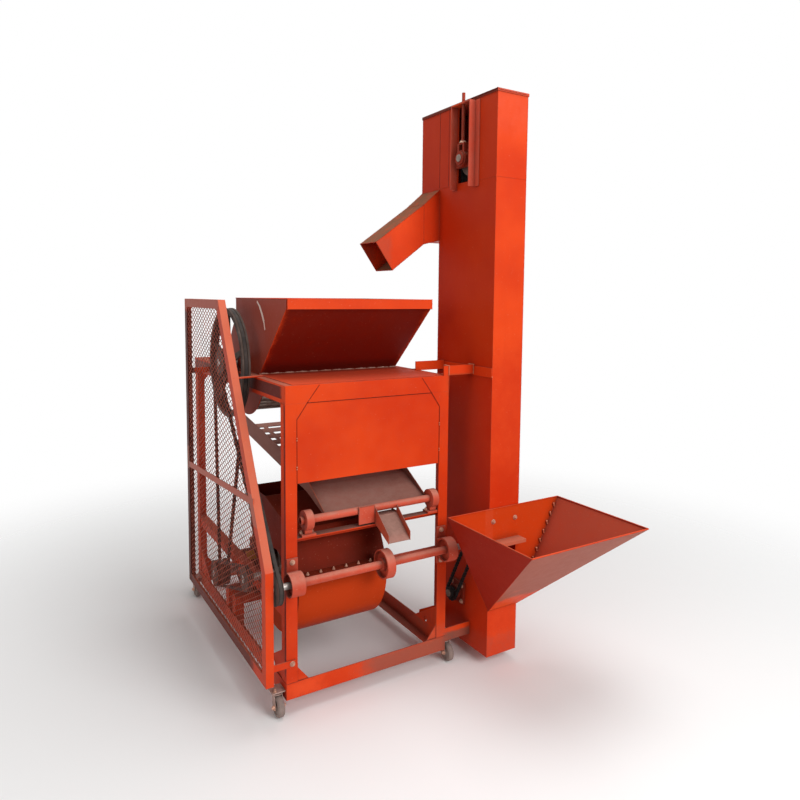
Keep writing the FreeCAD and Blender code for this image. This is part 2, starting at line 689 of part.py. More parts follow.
def small_pulley(middle, radius, y, z, shaft_r, hub_end):
    """Plain grooved pulley with a hub that runs to hub_end."""
    x0 = middle - SMALL_PULLEY_WIDTH / 2
    parts = [grooved_rim(middle, SMALL_PULLEY_WIDTH, radius, shaft_r + 2, y, z)]
    parts.append(rod("X", x0, y, z, shaft_r + 9, hub_end - x0))
    bore = rod("X", x0 - 1, y, z, shaft_r + SHAFT_CLEAR, hub_end - x0 + 2)
    return join(parts).cut(bore)


def shaft_bearings():
    """Pillow blocks of the drum on the side beams and of the fan on its left rail and its right shelf."""
    blocks = []
    for x0 in (ANGLE_WALL, FRAME_WIDTH - ANGLE_WALL - BLOCK_WIDTH):
        blocks.append(pillow_block(x0, x0 + BLOCK_WIDTH, DRUM_Y, DRUM_Z, FRAME_TOP, DRUM_SHAFT_R))
    foot = FAN_Z - BLOCK_HEIGHT
    for x0 in (2 * ANGLE_WALL, FAN_RIGHT + ANGLE_WALL):
        blocks.append(pillow_block(x0, x0 + BLOCK_WIDTH, FAN_Y, FAN_Z, foot, FAN_SHAFT_R))
    return group(blocks)


def angle_bar(corner, leg_y, leg_z, length):
    """Angle along X from a corner (x, y, z): signed legs along Y and Z that share the corner's edge."""
    return prism(angle_section(corner[1], corner[2], leg_y, leg_z), "X", corner[0], length)


def angle_section(a, b, leg_a, leg_b):
    """Outline of a steel angle with its corner at (a, b) and signed legs."""
    wall_a = math.copysign(ANGLE_WALL, leg_a)
    wall_b = math.copysign(ANGLE_WALL, leg_b)
    return [(a, b), (a + leg_a, b), (a + leg_a, b + wall_b), (a + wall_a, b + wall_b),
            (a + wall_a, b + leg_b), (a, b + leg_b)]


def rails():
    """Angles inside the frame: the rocker angle, the front rail of the fan and its left bearing rail."""
    t = ANGLE_WALL
    inner = FRAME_WIDTH - 2 * t
    corner = (t, t + ROCKER_ANGLE_LEG, ROCKER_ANGLE_TOP)
    rocker = angle_bar(corner, -ROCKER_ANGLE_LEG, -ROCKER_ANGLE_DROP, inner)
    front = angle_bar((t, t, FAN_RAIL_TOP), FAN_RAIL_LEG, -FAN_RAIL_LEG, inner)
    top = FAN_Z - BLOCK_HEIGHT
    leg = BENCH_RAIL_LEG
    bearing = prism(angle_section(t, top, leg, -leg), "Y", t, FRAME_DEPTH - 2 * t)
    return group([rocker, front, bearing])


def bench_cross_rails():
    """Motor bench: two angles across the frame, each on a short angle upright at both foot beams."""
    t = ANGLE_WALL
    leg = BENCH_RAIL_LEG
    top = motor_foot_z()
    base = FRAME_FOOT + t
    out = []
    for offset in BENCH_RAILS:
        y = MOTOR_Y + offset
        out.append(angle_bar((t, y, top), leg, -leg, FRAME_WIDTH - 2 * t))
        upright = prism(angle_section(t, y + t, leg, leg), "Z", base, top - t - base)
        out += [upright, across(upright)]
    return group(out)


def motor_foot_z():
    """Height of the underside of the motor feet."""
    return MOTOR_Z - MOTOR_R - MOTOR_FOOT_HEIGHT


def fan_profile(inset, top):
    """Scroll outline seen from the side: a drum that opens into a mouth at the top rear."""
    r = FAN_CASE_R - inset
    start = math.asin((FAN_RAIL_TOP - FAN_Z) / r)
    front = V(0, FAN_Y - r * math.cos(start), FAN_Z + r * math.sin(start))
    low = V(0, FAN_Y, FAN_Z - r)
    leave = math.radians(FAN_BELLY_TURN)
    tail = V(0, FAN_Y + r * math.sin(leave), FAN_Z - r * math.cos(leave))
    back = V(0, FAN_MOUTH_BACK - inset, FAN_RAIL_TOP + FAN_SHOULDER)
    mouth_back = V(0, FAN_MOUTH_BACK - inset, top)
    mouth_front = V(0, FAN_MOUTH_BACK - FAN_MOUTH_DEPTH + 6 * inset, top)
    brow = V(0, front.y + FAN_BROW[0] + inset, FAN_RAIL_TOP + FAN_BROW[1] - inset)
    edges = [Part.Arc(front, low, tail).toShape()]
    line = [tail, back, mouth_back, mouth_front, brow, front]
    for a, b in zip(line, line[1:]):
        edges.append(Part.LineSegment(a, b).toShape())
    return Part.Face(Part.Wire(edges))


def fan_housing():
    """Welded scroll with round inlets in its ends, an open mouth, a lip on its rail and a bearing shelf."""
    length = FAN_RIGHT - FAN_LEFT
    outer = fan_profile(0, FAN_MOUTH_TOP).extrude(V(length, 0, 0))
    outer.translate(V(FAN_LEFT, 0, 0))
    inner = fan_profile(SHEET, FAN_MOUTH_TOP + SHEET).extrude(V(length - 2 * SHEET, 0, 0))
    inner.translate(V(FAN_LEFT + SHEET, 0, 0))
    inlet = rod("X", FAN_LEFT - 1, FAN_Y, FAN_Z, FAN_INLET_R, length + 2)
    lip_back = FAN_Y - FAN_CASE_R + FAN_LIP_LAP
    lip = box(FAN_LEFT, FAN_RIGHT, 2 * ANGLE_WALL, lip_back, FAN_RAIL_TOP, FAN_RAIL_TOP + SHEET)
    return join([join([outer, lip]).cut(inner).cut(inlet), fan_bearing_shelf()])


def fan_bearing_shelf():
    """Angle welded across the right inlet of the fan; its flat leg carries the shaft's bearing."""
    x0 = FAN_RIGHT
    top = FAN_Z - BLOCK_HEIGHT
    t = ANGLE_WALL
    leg = FAN_SHELF_LEG
    upright = box(x0, x0 + t, FAN_Y - FAN_SHELF_REACH, FAN_Y + FAN_SHELF_REACH, top - leg, top)
    flat = box(x0, x0 + leg, FAN_Y - FAN_SHELF_REACH, FAN_Y + FAN_SHELF_REACH, top - t, top)
    return join([upright, flat])


def fan_shaft():
    """Fan shaft with the eccentric that rocks the sieve at its right end."""
    x0 = OUTER_BELT_X - SMALL_PULLEY_WIDTH / 2 - SHAFT_END
    x1 = eccentric_x() + ECCENTRIC_WIDTH + SHAFT_END
    cam = rod("X", eccentric_x(), FAN_Y, FAN_Z + ECCENTRIC_THROW, ECCENTRIC_R, ECCENTRIC_WIDTH)
    return join([rod("X", x0, FAN_Y, FAN_Z, FAN_SHAFT_R, x1 - x0), cam])


def eccentric_x():
    """Left face of the eccentric beside the fan's right bearing."""
    return FAN_RIGHT + ANGLE_WALL + BLOCK_WIDTH + ECCENTRIC_GAP


def fan_impeller():
    """Flat radial blades on a hub tube between two rings."""
    x0 = FAN_LEFT + 22
    x1 = FAN_RIGHT - 22
    hub_r = FAN_SHAFT_R + 10
    parts = [rod("X", x0, FAN_Y, FAN_Z, hub_r, x1 - x0)]
    for x in (x0 + 40, x1 - 40 - 4):
        parts.append(rod("X", x, FAN_Y, FAN_Z, FAN_WHEEL_R * 0.5, 4))
    for k in range(FAN_BLADES):
        blade = box(x0, x1, hub_r - 4, FAN_WHEEL_R, -2, 2)
        blade.rotate(V(0, 0, 0), V(1, 0, 0), 360 / FAN_BLADES * k)
        blade.translate(V(0, FAN_Y, FAN_Z))
        parts.append(blade)
    bore = rod("X", x0 - 1, FAN_Y, FAN_Z, FAN_SHAFT_R + SHAFT_CLEAR, x1 - x0 + 2)
    return join(parts).cut(bore)


def motor_body():
    """Ribbed motor casing with end bells, feet and a terminal box with its gland."""
    x1 = MOTOR_LEFT + MOTOR_LENGTH
    bell = MOTOR_LEFT + MOTOR_BELL
    cowl = x1 - MOTOR_COWL
    outline = [(MOTOR_LEFT, 0), (MOTOR_LEFT, 40), (MOTOR_LEFT + 14, MOTOR_R - 10), (bell, MOTOR_R - 10)]
    outline += [(bell, MOTOR_R - 8), (cowl, MOTOR_R - 8), (cowl, MOTOR_R - 2), (x1 - 8, MOTOR_R - 2)]
    outline += [(x1, MOTOR_R - 14), (x1, 0)]
    parts = [turned(outline, MOTOR_Y, MOTOR_Z)]
    for k in range(-3, 4):
        for side in (1, -1):
            fin = box(bell + 2, cowl - 4, MOTOR_R - 14, MOTOR_R, -2, 2)
            fin.rotate(V(0, 0, 0), V(1, 0, 0), 90 - side * 90 + side * k * 15)
            fin.translate(V(0, MOTOR_Y, MOTOR_Z))
            parts.append(fin)
    foot = motor_foot_z()
    for y0 in (MOTOR_Y - 78, MOTOR_Y + 34):
        parts.append(box(MOTOR_LEFT + 50, x1 - 90, y0, y0 + 44, foot, foot + 10))
        parts.append(box(MOTOR_LEFT + 60, x1 - 100, y0 + 14, y0 + 30, foot, MOTOR_Z - 40))
    box_x = MOTOR_LEFT + TERMINAL_BOX_X
    box_y = MOTOR_Y - TERMINAL_BOX_DEPTH / 2
    motor_top = MOTOR_Z + MOTOR_R
    parts.append(box(box_x, box_x + TERMINAL_BOX_WIDTH, box_y, box_y + TERMINAL_BOX_DEPTH,
                     motor_top - TERMINAL_BOX_SINK, motor_top + TERMINAL_BOX_RISE))
    gland_x = box_x + TERMINAL_BOX_WIDTH / 2
    gland_z = motor_top + GLAND_RISE
    gland_end = box_y + TERMINAL_BOX_DEPTH + GLAND_REACH
    parts.append(rod("Y", gland_x, gland_end - GLAND_LENGTH, gland_z, GLAND_R, GLAND_LENGTH))
    lead = rod("Y", gland_x, gland_end - GLAND_DEPTH, gland_z, GLAND_BORE_R, GLAND_DEPTH + 1)
    bore = rod("X", MOTOR_LEFT - 1, MOTOR_Y, MOTOR_Z, MOTOR_SHAFT_R + SHAFT_CLEAR, 62)
    return join(parts).cut(bore).cut(lead)


def motor_rotor():
    """Motor shaft."""
    x0 = OUTER_BELT_X - SMALL_PULLEY_WIDTH / 2 - SHAFT_END
    return rod("X", x0, MOTOR_Y, MOTOR_Z, MOTOR_SHAFT_R, MOTOR_LEFT + 60 - x0)


def motor_pulley():
    """Two-groove motor pulley: the drum belt runs inside, the fan belt outside."""
    x0 = OUTER_BELT_X - SMALL_PULLEY_WIDTH / 2
    x1 = INNER_BELT_X + PULLEY_WIDTH / 2
    parts = []
    for middle, width in ((INNER_BELT_X, PULLEY_WIDTH), (OUTER_BELT_X, SMALL_PULLEY_WIDTH)):
        parts.append(grooved_rim(middle, width, MOTOR_PULLEY_R, MOTOR_SHAFT_R + 4, MOTOR_Y, MOTOR_Z))
    parts.append(rod("X", x0, MOTOR_Y, MOTOR_Z, MOTOR_SHAFT_R + 10, x1 - x0))
    bore = rod("X", x0 - 1, MOTOR_Y, MOTOR_Z, MOTOR_SHAFT_R + SHAFT_CLEAR, x1 - x0 + 2)
    return join(parts).cut(bore)


def belt_between(first, r1, second, r2, middle):
    """V-belt in the grooves of two pulleys of the given outer radii."""
    seat = RUN_CLEAR - GROOVE_DEPTH
    return belt_loop(first, r1 + seat, second, r2 + seat, middle - BELT_WIDTH / 2, BELT_WIDTH, BELT_DEPTH)


def lay_bearings():
    """Three bearing rings of the lay shaft with the plates that hold them to the posts and the fan."""
    tube_r = LAY_TUBE_R
    out = []
    for x0, x1, r in (LAY_LEFT_RING, LAY_RIGHT_RING):
        ring = tube("X", x0, LAY_Y, LAY_Z, r, r - 6, x1 - x0)
        seat_x0 = x0 + 12
        core = tube("X", seat_x0, LAY_Y, LAY_Z, r - 5, LAY_SHAFT_R + SHAFT_CLEAR, x1 - 12 - seat_x0)
        left = lay_plate_left(x0, x1)
        right = left + LAY_PLATE_WIDTH
        front = -LAY_PLATE_WALL
        plate = box(left, right, front, 0, LAY_Z - r - 22, LAY_Z + r + 34)
        web = box(left, right, LAY_Y, front, LAY_Z - r + 14, LAY_Z + r - 14)
        web = web.cut(rod("X", left - 1, LAY_Y, LAY_Z, r - 1, LAY_PLATE_WIDTH + 2))
        out.append(join([ring, core, plate, web]))
    x0, x1, r = LAY_MIDDLE_RING
    ring = tube("X", x0, LAY_Y, LAY_Z, r, tube_r + 0.05, x1 - x0)
    hollow = tube("X", x0 - 1, LAY_Y, LAY_Z, r - 6, tube_r + 8, (x1 - x0) / 2 - 4)
    hollow_right = hollow.copy()
    hollow_right.translate(V((x1 - x0) / 2 + 6, 0, 0))
    strut = box(x0, x1, LAY_Y, ANGLE_WALL, LAY_Z - 40, FAN_RAIL_TOP - 4)
    strut = strut.cut(rod("X", x0 - 1, LAY_Y, LAY_Z, r - 1, x1 - x0 + 2))
    out.append(join([ring.cut(hollow).cut(hollow_right), strut]))
    return group(out)


def lay_plate_left(x0, x1):
    """Left edge of the plate behind a bearing ring, kept on the post."""
    return min(max((x0 + x1 - LAY_PLATE_WIDTH) / 2, 1.0), FRAME_WIDTH - 1 - LAY_PLATE_WIDTH)


def lay_tube():
    """Two lengths of painted tube over the lay shaft, from ring to ring."""
    x0 = LAY_LEFT_RING[1] - 11.5
    x1 = LAY_RIGHT_RING[0] + 11.5
    return tube("X", x0, LAY_Y, LAY_Z, LAY_TUBE_R, LAY_SHAFT_R + 1, x1 - x0)


def lay_shaft():
    """Round shaft inside the tube, from the belt pulley to the sprocket."""
    x0 = OUTER_BELT_X - SMALL_PULLEY_WIDTH / 2 - SHAFT_END
    return rod("X", x0, LAY_Y, LAY_Z, LAY_SHAFT_R, LAY_SPROCKET_X + 14 - x0)


def sprocket(y, z, shaft_r, hub_x0, hub_x1):
    """Roller chain sprocket with a hub, in the chain plane."""
    pitch_r = sprocket_pitch_r()
    root = pitch_r - CHAIN_ROLLER_R
    tip = pitch_r + CHAIN_ROLLER_R * 0.7
    points = []
    step = 2 * math.pi / SPROCKET_TEETH
    for k in range(SPROCKET_TEETH):
        for share, radius in ((-0.3, root), (-0.08, tip), (0.08, tip), (0.3, root)):
            a = (k + share) * step
            points.append((y + radius * math.cos(a), z + radius * math.sin(a)))
    disc = prism(points, "X", LAY_SPROCKET_X - SPROCKET_WALL / 2, SPROCKET_WALL)
    hub = rod("X", hub_x0, y, z, shaft_r + SPROCKET_HUB, hub_x1 - hub_x0)
    bore = rod("X", hub_x0 - 1, y, z, shaft_r + SHAFT_CLEAR, hub_x1 - hub_x0 + 2)
    return join([disc, hub]).cut(bore)


def sprocket_pitch_r():
    """Pitch radius of both sprockets."""
    return CHAIN_PITCH / (2 * math.sin(math.pi / SPROCKET_TEETH))


def drive_chain():
    """Chain from the lay shaft to the boot shaft: side plates all round, rollers on the straight runs."""
    pitch_r = sprocket_pitch_r()
    first = (LAY_Y, LAY_Z)
    second = (HEAD_SHAFT_Y, BOOT_SHAFT_Z)
    half = CHAIN_PLATE_HEIGHT / 2
    gap = SPROCKET_WALL / 2 + SEAT
    parts = []
    for x in (LAY_SPROCKET_X - gap - CHAIN_PLATE_WALL, LAY_SPROCKET_X + gap):
        inner = pitch_r - half
        parts.append(belt_loop(first, inner, second, inner, x, CHAIN_PLATE_WALL, CHAIN_PLATE_HEIGHT))
    dy = second[0] - first[0]
    dz = second[1] - first[1]
    run = math.hypot(dy, dz)
    along = (dy / run, dz / run)
    normal = (-along[1], along[0])
    count = int((run - 4 * CHAIN_PITCH) / (2 * CHAIN_PITCH))
    start = (run - count * 2 * CHAIN_PITCH) / 2
    for side in (1, -1):
        for k in range(count + 1):
            s = start + k * 2 * CHAIN_PITCH
            y = first[0] + along[0] * s + side * normal[0] * pitch_r
            z = first[1] + along[1] * s + side * normal[1] * pitch_r
            parts.append(rod("X", LAY_SPROCKET_X - gap, y, z, CHAIN_ROLLER_R, 2 * gap))
    return join(parts)


def rocker_bearings():
    """Two rings that carry the rocker tube, each with a foot on the rocker angle."""
    out = []
    for x0 in (ROCKER_LEFT, ROCKER_RIGHT):
        x1 = x0 + ROCKER_RING_WIDTH
        ring = rod("X", x0, ROCKER_Y, ROCKER_Z, ROCKER_RING_R, ROCKER_RING_WIDTH)
        foot_y1 = ANGLE_WALL + ROCKER_ANGLE_LEG
        neck = box(x0, x1, ROCKER_Y - 14, ROCKER_Y + 14, ROCKER_ANGLE_TOP, ROCKER_Z - 18)
        foot = box(x0 - 14, x1 + 14, ANGLE_WALL, foot_y1, ROCKER_ANGLE_TOP, ROCKER_ANGLE_TOP + 8)
        whole = join([ring, neck, foot])
        bore = rod("X", x0 - 1, ROCKER_Y, ROCKER_Z, ROCKER_TUBE_R + SHAFT_CLEAR, ROCKER_RING_WIDTH + 2)
        out.append(whole.cut(bore))
    return group(out)


def rocker_tube():
    """Tube that the sieve rocks on, with the square plate welded to its front."""
    x0 = ROCKER_LEFT - 14
    x1 = ROCKER_RIGHT + ROCKER_RING_WIDTH + 14
    parts = [rod("X", x0, ROCKER_Y, ROCKER_Z, ROCKER_TUBE_R, x1 - x0)]
    plate_y = ROCKER_Y - ROCKER_TUBE_R
    plate_x1 = TUBE_PLATE_LEFT + TUBE_PLATE_SIDE
    plate_z1 = ROCKER_Z + ROCKER_TUBE_R + 4
    plate_z0 = plate_z1 - TUBE_PLATE_SIDE
    parts.append(box(TUBE_PLATE_LEFT, plate_x1, plate_y - 4, plate_y + 2, plate_z0, plate_z1))
    bore = rod("X", x0 - 1, ROCKER_Y, ROCKER_Z, ROCKER_TUBE_R - 3, x1 - x0 + 2)
    return join(parts).cut(bore)


def deck_line():
    """Corner points of the tray and sieve seen from the side, front to back."""
    return [TRAY_FRONT, TRAY_BACK, SIEVE_BACK]


def sieve_box():
    """Discharge tray and sieve deck in one frame, with lugs that hold it to the rocker tube."""
    front, knee, back = deck_line()
    parts = [slanted_sheet(front, knee, TRAY_LEFT, TRAY_RIGHT, SHEET)]
    deck = slanted_sheet(knee, back, TRAY_LEFT, TRAY_RIGHT, SHEET)
    slots = []
    columns = 5
    rows = 9
    bay = (TRAY_RIGHT - TRAY_LEFT) / columns
    for row in range(rows):
        y = knee[0] + (back[0] - knee[0]) * (row + 0.8) / (rows + 0.6)
        for column in range(columns):
            x = TRAY_LEFT + bay * (column + 0.5)
            slots.append(box(x - bay * 0.38, x + bay * 0.38, y - 14, y + 14, knee[1] - 20, back[1] + 20))
    parts.append(deck.cut(slots))
    high = SIEVE_WALL_HEIGHT
    wall = [(front[0], front[1] - SHEET), (front[0], front[1] + 12), (knee[0] - 8, knee[1] + 26),
            (knee[0] + 20, knee[1] + high), (back[0], back[1] + high), (back[0], back[1] - 22),
            (knee[0], knee[1] - 22)]
    parts.append(prism(wall, "X", TRAY_LEFT - SHEET, SHEET))
    parts.append(prism(wall, "X", TRAY_RIGHT, SHEET))
    parts.append(box(TRAY_LEFT, TRAY_RIGHT, back[0] - SHEET, back[0], back[1] - 22, back[1]))
    reach = ROCKER_TUBE_R
    for x in (TRAY_LEFT + 30, (TRAY_LEFT + TRAY_RIGHT) / 2, TRAY_RIGHT - 36):
        far_y = front[0] + 70
        near_y = front[0] + 10
        root = ROCKER_Y + reach - 1
        lug = [(root, ROCKER_Z - 8), (far_y - 20, ROCKER_Z - 6), (far_y, deck_height(far_y) - 1)]
        lug += [(near_y, deck_height(near_y) - 1), (root, ROCKER_Z + 3)]
        bore = rod("X", x - 1, ROCKER_Y, ROCKER_Z, reach + SHAFT_CLEAR, LUG_WALL + 2)
        parts.append(prism(lug, "X", x, LUG_WALL).cut(bore))
    x0 = eccentric_x() - PIN_GAP - LUG_WALL
    x1 = eccentric_x() + ECCENTRIC_WIDTH + PIN_GAP
    parts.append(rod("X", x0, FAN_Y, pin_z(), PIN_R, x1 + LUG_WALL - x0))
    for x in (x0, x1):
        cheek = [(FAN_Y - 12, pin_z() - 14), (FAN_Y + 12, pin_z() - 14)]
        cheek += [(y, deck_height(y) - 1) for y in (FAN_Y + 24, FAN_Y - 24)]
        parts.append(prism(cheek, "X", x, LUG_WALL))
    return join(parts)


def deck_height(y):
    """Height of the tray or the deck at a distance from the front."""
    front, knee, back = deck_line()
    a, b = (front, knee) if y < knee[0] else (knee, back)
    return a[1] + (b[1] - a[1]) * (y - a[0]) / (b[0] - a[0])


def pin_z():
    """Height of the pin that the connecting rod pulls on."""
    return deck_height(FAN_Y) - 30


def connecting_rod():
    """Rod from the fan's eccentric up to the pin under the sieve; its lower eye is open wide."""
    x0 = eccentric_x() + 1
    width = ECCENTRIC_WIDTH - 2
    wide = ECCENTRIC_R + 2 * ECCENTRIC_THROW + RUN_CLEAR
    lower = rod("X", x0, FAN_Y, FAN_Z, wide + 10, width)
    upper = rod("X", x0, FAN_Y, pin_z(), 17, width)
    shank = box(x0 + 2, x0 + width - 2, FAN_Y - 9, FAN_Y + 9, FAN_Z + wide + 2, pin_z() - 10)
    whole = join([lower, upper, shank])
    whole = whole.cut(rod("X", x0 - 1, FAN_Y, FAN_Z, wide, width + 2))
    return whole.cut(rod("X", x0 - 1, FAN_Y, pin_z(), PIN_R + SHAFT_CLEAR, width + 2))


def kernel_chute():
    """Open channel that takes the kernels from the tray out to the front, on feet on the rocker angle."""
    x0 = CHUTE_LEFT
    x1 = CHUTE_LEFT + CHUTE_WIDTH
    top_y, top_z = CHUTE_TOP
    end_y, end_z = CHUTE_END
    foot_y = ANGLE_WALL + ROCKER_ANGLE_LEG
    high = CHUTE_WALL_HEIGHT
    under = ROCKER_Z - ROCKER_TUBE_R - 5
    floor = slanted_sheet((top_y, top_z), CHUTE_END, x0, x1, -SHEET)
    flat = box(x0, x1, top_y, foot_y, top_z - SHEET, top_z)
    wall = [(foot_y, ROCKER_ANGLE_TOP), (ANGLE_WALL, ROCKER_ANGLE_TOP), (end_y, end_z - SHEET - 1)]
    wall += [(end_y, end_z + high), (top_y, top_z + high), (top_y + 3, top_z + high - 6), (top_y + 3, under)]
    wall.append((foot_y, under))
    left = prism(wall, "X", x0 - SHEET, SHEET)
    right = prism(wall, "X", x1, SHEET)
    return join([floor, flat, left, right])


def tower_column():
    """Square elevator trunk with its boot, open at the inlet, the shaft holes and the top."""
    x0 = TOWER_LEFT
    x1 = TOWER_RIGHT
    y0 = TOWER_FRONT
    y1 = TOWER_BACK
    w = SHEET
    shell = box(x0, x1, y0, y1, TOWER_FOOT, HEAD_FOOT)
    shell = shell.cut(box(x0 + w, x1 - w, y0 + w, y1 - w, TOWER_FOOT + w, HEAD_FOOT + 1))
    m = INLET_MARGIN
    inlet = box(x0 + m, x1 - m, y0 - 1, y0 + w + 1, INLET_NECK_Z + INLET_SILL, INLET_TOP)
    shaft = rod("X", x0 - 1, HEAD_SHAFT_Y, BOOT_SHAFT_Z, ELEVATOR_SHAFT_R + 8, TOWER_WIDTH + 2)
    return shell.cut(inlet).cut(shaft)


def tower_head():
    """Deeper head over the trunk: side walls slotted for the shaft, and the leg behind the trunk."""
    x0 = TOWER_LEFT
    x1 = TOWER_RIGHT
    y0 = TOWER_FRONT
    y1 = HEAD_BACK
    w = SHEET
    top = TOWER_TOP - w
    low = SPOUT_START[0]
    shell = box(x0, x1, y0, y1, HEAD_FOOT, top)
    leg = box(x0, x1, TOWER_BACK, y1, low, HEAD_FOOT)
    whole = shell.fuse(leg)
    inside = box(x0 + w, x1 - w, y0 + w, y1 - w, HEAD_FOOT - 1, top + 1)
    leg_inside = box(x0 + w, x1 - w, TOWER_BACK + w, y1 - w, low + w, HEAD_FOOT + 1)
    whole = whole.cut(inside).cut(leg_inside)
    half = TAKE_UP_SLOT / 2
    slot_z = HEAD_SHAFT_Z - TAKE_UP_SLOT_BELOW
    slot = box(x0 - 1, x1 + 1, HEAD_SHAFT_Y - half, HEAD_SHAFT_Y + half, slot_z, top + 1)
    gate = box(x0 - 1, x0 + w + 1, TOWER_BACK + GATE_MARGIN, y1 - GATE_MARGIN, low + GATE_MARGIN,
               SPOUT_START[1] - GATE_MARGIN)
    return join([whole.cut(slot).cut(gate)])


def head_lid():
    """Lid of folded sheet that lies on the head, with its rim outside the walls."""
    g = LID_OVERHANG
    z0 = TOWER_TOP - LID_HEIGHT
    plate = box(TOWER_LEFT - g, TOWER_RIGHT + g, TOWER_FRONT - g, HEAD_BACK + g, z0, TOWER_TOP)
    g -= SHEET
    hollow = box(TOWER_LEFT - g, TOWER_RIGHT + g, TOWER_FRONT - g, HEAD_BACK + g, z0 - 1, TOWER_TOP - SHEET)
    return plate.cut(hollow)


def rail_top():
    """Upper end of the take-up rails, just under the rim of the lid."""
    return TOWER_TOP - LID_HEIGHT - RAIL_TOP_GAP


def take_up_rails():
    """Angle rails on both sides of the head that guide the bearing blocks, with a lug across their tops."""
    z0 = HEAD_SHAFT_Z - RAIL_BELOW
    z1 = rail_top()
    half = TAKE_UP_GAP / 2
    out = []
    for wall_x, way in ((TOWER_LEFT, -1), (TOWER_RIGHT, 1)):
        near = sorted((wall_x, wall_x + way * RAIL_WALL))
        far = sorted((wall_x, wall_x + way * RAIL_DEPTH))
        pieces = []
        for side in (-1, 1):
            y_face = HEAD_SHAFT_Y + side * half
            foot = sorted((y_face, y_face + side * RAIL_LEG))
            stem = sorted((y_face, y_face + side * RAIL_WALL))
            pieces.append(box(near[0], near[1], foot[0], foot[1], z0, z1))
            pieces.append(box(far[0], far[1], stem[0], stem[1], z0, z1))
        lug = box(far[0], far[1], HEAD_SHAFT_Y - half, HEAD_SHAFT_Y + half, z1 - LUG_WALL, z1)
        hole = rod("Z", sum(far) / 2, HEAD_SHAFT_Y, z1 - LUG_WALL - 1, SCREW_R + RUN_CLEAR, LUG_WALL + 2)
        pieces.append(lug.cut(hole))
        out.append(join(pieces))
    return group(out)


def take_up_blocks():
    """Bearing blocks between the rails: a round housing with wings, and a windowed neck under its screw."""
    y = HEAD_SHAFT_Y
    z = HEAD_SHAFT_Z
    r = TAKE_UP_BLOCK / 2
    neck_top = z + TAKE_UP_BLOCK_TOP
    neck_half = 0.7 * r
    wing_half = TAKE_UP_GAP / 2 - SEAT
    hub_length = TAKE_UP_WALL + HUB_STEP
    screw_top = rail_top() + TAKE_UP_TRAVEL + SCREW_STUB
    out = []
    for wall_x, way in ((TOWER_LEFT, -1), (TOWER_RIGHT, 1)):
        face = wall_x + way * SEAT
        xs = sorted((face, face + way * TAKE_UP_WALL))
        wing_xs = sorted((face, face + way * TAKE_UP_WING))
        housing = rod("X", xs[0], y, z, r, TAKE_UP_WALL)
        neck = box(xs[0], xs[1], y - neck_half, y + neck_half, z, neck_top)
        wings = box(wing_xs[0], wing_xs[1], y - wing_half, y + wing_half, z - r, z + r)
        window = box(xs[0] - 1, xs[1] + 1, y - neck_half / 2, y + neck_half / 2,
                     neck_top - TAKE_UP_WALL / 4 - TAKE_UP_WINDOW, neck_top - TAKE_UP_WALL / 4)
        hub = rod("X", min(xs[0], xs[0] + way * HUB_STEP), y, z, ELEVATOR_SHAFT_R + 12, hub_length)
        screw = rod("Z", wall_x + way * RAIL_DEPTH / 2, y, neck_top - 1, SCREW_R, screw_top - neck_top + 1)
        nut = bolt("Z", wall_x + way * RAIL_DEPTH / 2, y, screw_top - 2 * BOLT_HEAD_HEIGHT, 1)
        bore_r = ELEVATOR_SHAFT_R + SHAFT_CLEAR
        bore = rod("X", xs[0] - 2 * HUB_STEP, y, z, bore_r, hub_length + 3 * HUB_STEP)
        body = join([housing, neck, wings]).cut(window)
        out.append(join([body, hub, screw, nut]).cut(bore))
    return group(out)


def elevator_drum(z, x0, x1):
    """Belt pulley of the elevator with its shaft: a crowned drum with end discs."""
    a = TOWER_LEFT + (TOWER_WIDTH - ELEVATOR_BELT_WIDTH) / 2 - 6
    b = a + ELEVATOR_BELT_WIDTH + 12
    r = ELEVATOR_PULLEY_R
    outline = [(a, ELEVATOR_SHAFT_R - 1), (a, r - 3), ((a + b) / 2, r), (b, r - 3), (b, ELEVATOR_SHAFT_R - 1)]
    drum = turned(outline, HEAD_SHAFT_Y, z)
    return join([drum, rod("X", x0, HEAD_SHAFT_Y, z, ELEVATOR_SHAFT_R, x1 - x0)])


def boot_bearings():
    """Square flanged bearings of the boot shaft on both sides of the trunk."""
    half = BOOT_FLANGE / 2
    y = HEAD_SHAFT_Y
    z = BOOT_SHAFT_Z
    out = []
    for wall_x, way in ((TOWER_LEFT, -1), (TOWER_RIGHT, 1)):
        flange_x = min(wall_x, wall_x + way * BOOT_FLANGE_WALL)
        hub_x = min(wall_x, wall_x + way * BOOT_HUB)
        flange = box(flange_x, flange_x + BOOT_FLANGE_WALL, y - half, y + half, z - half, z + half)
        hub = rod("X", hub_x, y, z, ELEVATOR_SHAFT_R + 14, BOOT_HUB)
        bore = rod("X", hub_x - 1, y, z, ELEVATOR_SHAFT_R + SHAFT_CLEAR, BOOT_HUB + 2)
        out.append(join([flange, hub]).cut(bore))
    return group(out)


def elevator_belt():
    """Flat belt round the head and boot pulleys."""
    a = TOWER_LEFT + (TOWER_WIDTH - ELEVATOR_BELT_WIDTH) / 2
    seat = ELEVATOR_PULLEY_R + SEAT
    return belt_loop((HEAD_SHAFT_Y, BOOT_SHAFT_Z), seat, (HEAD_SHAFT_Y, HEAD_SHAFT_Z), seat, a,
                     ELEVATOR_BELT_WIDTH, ELEVATOR_BELT)


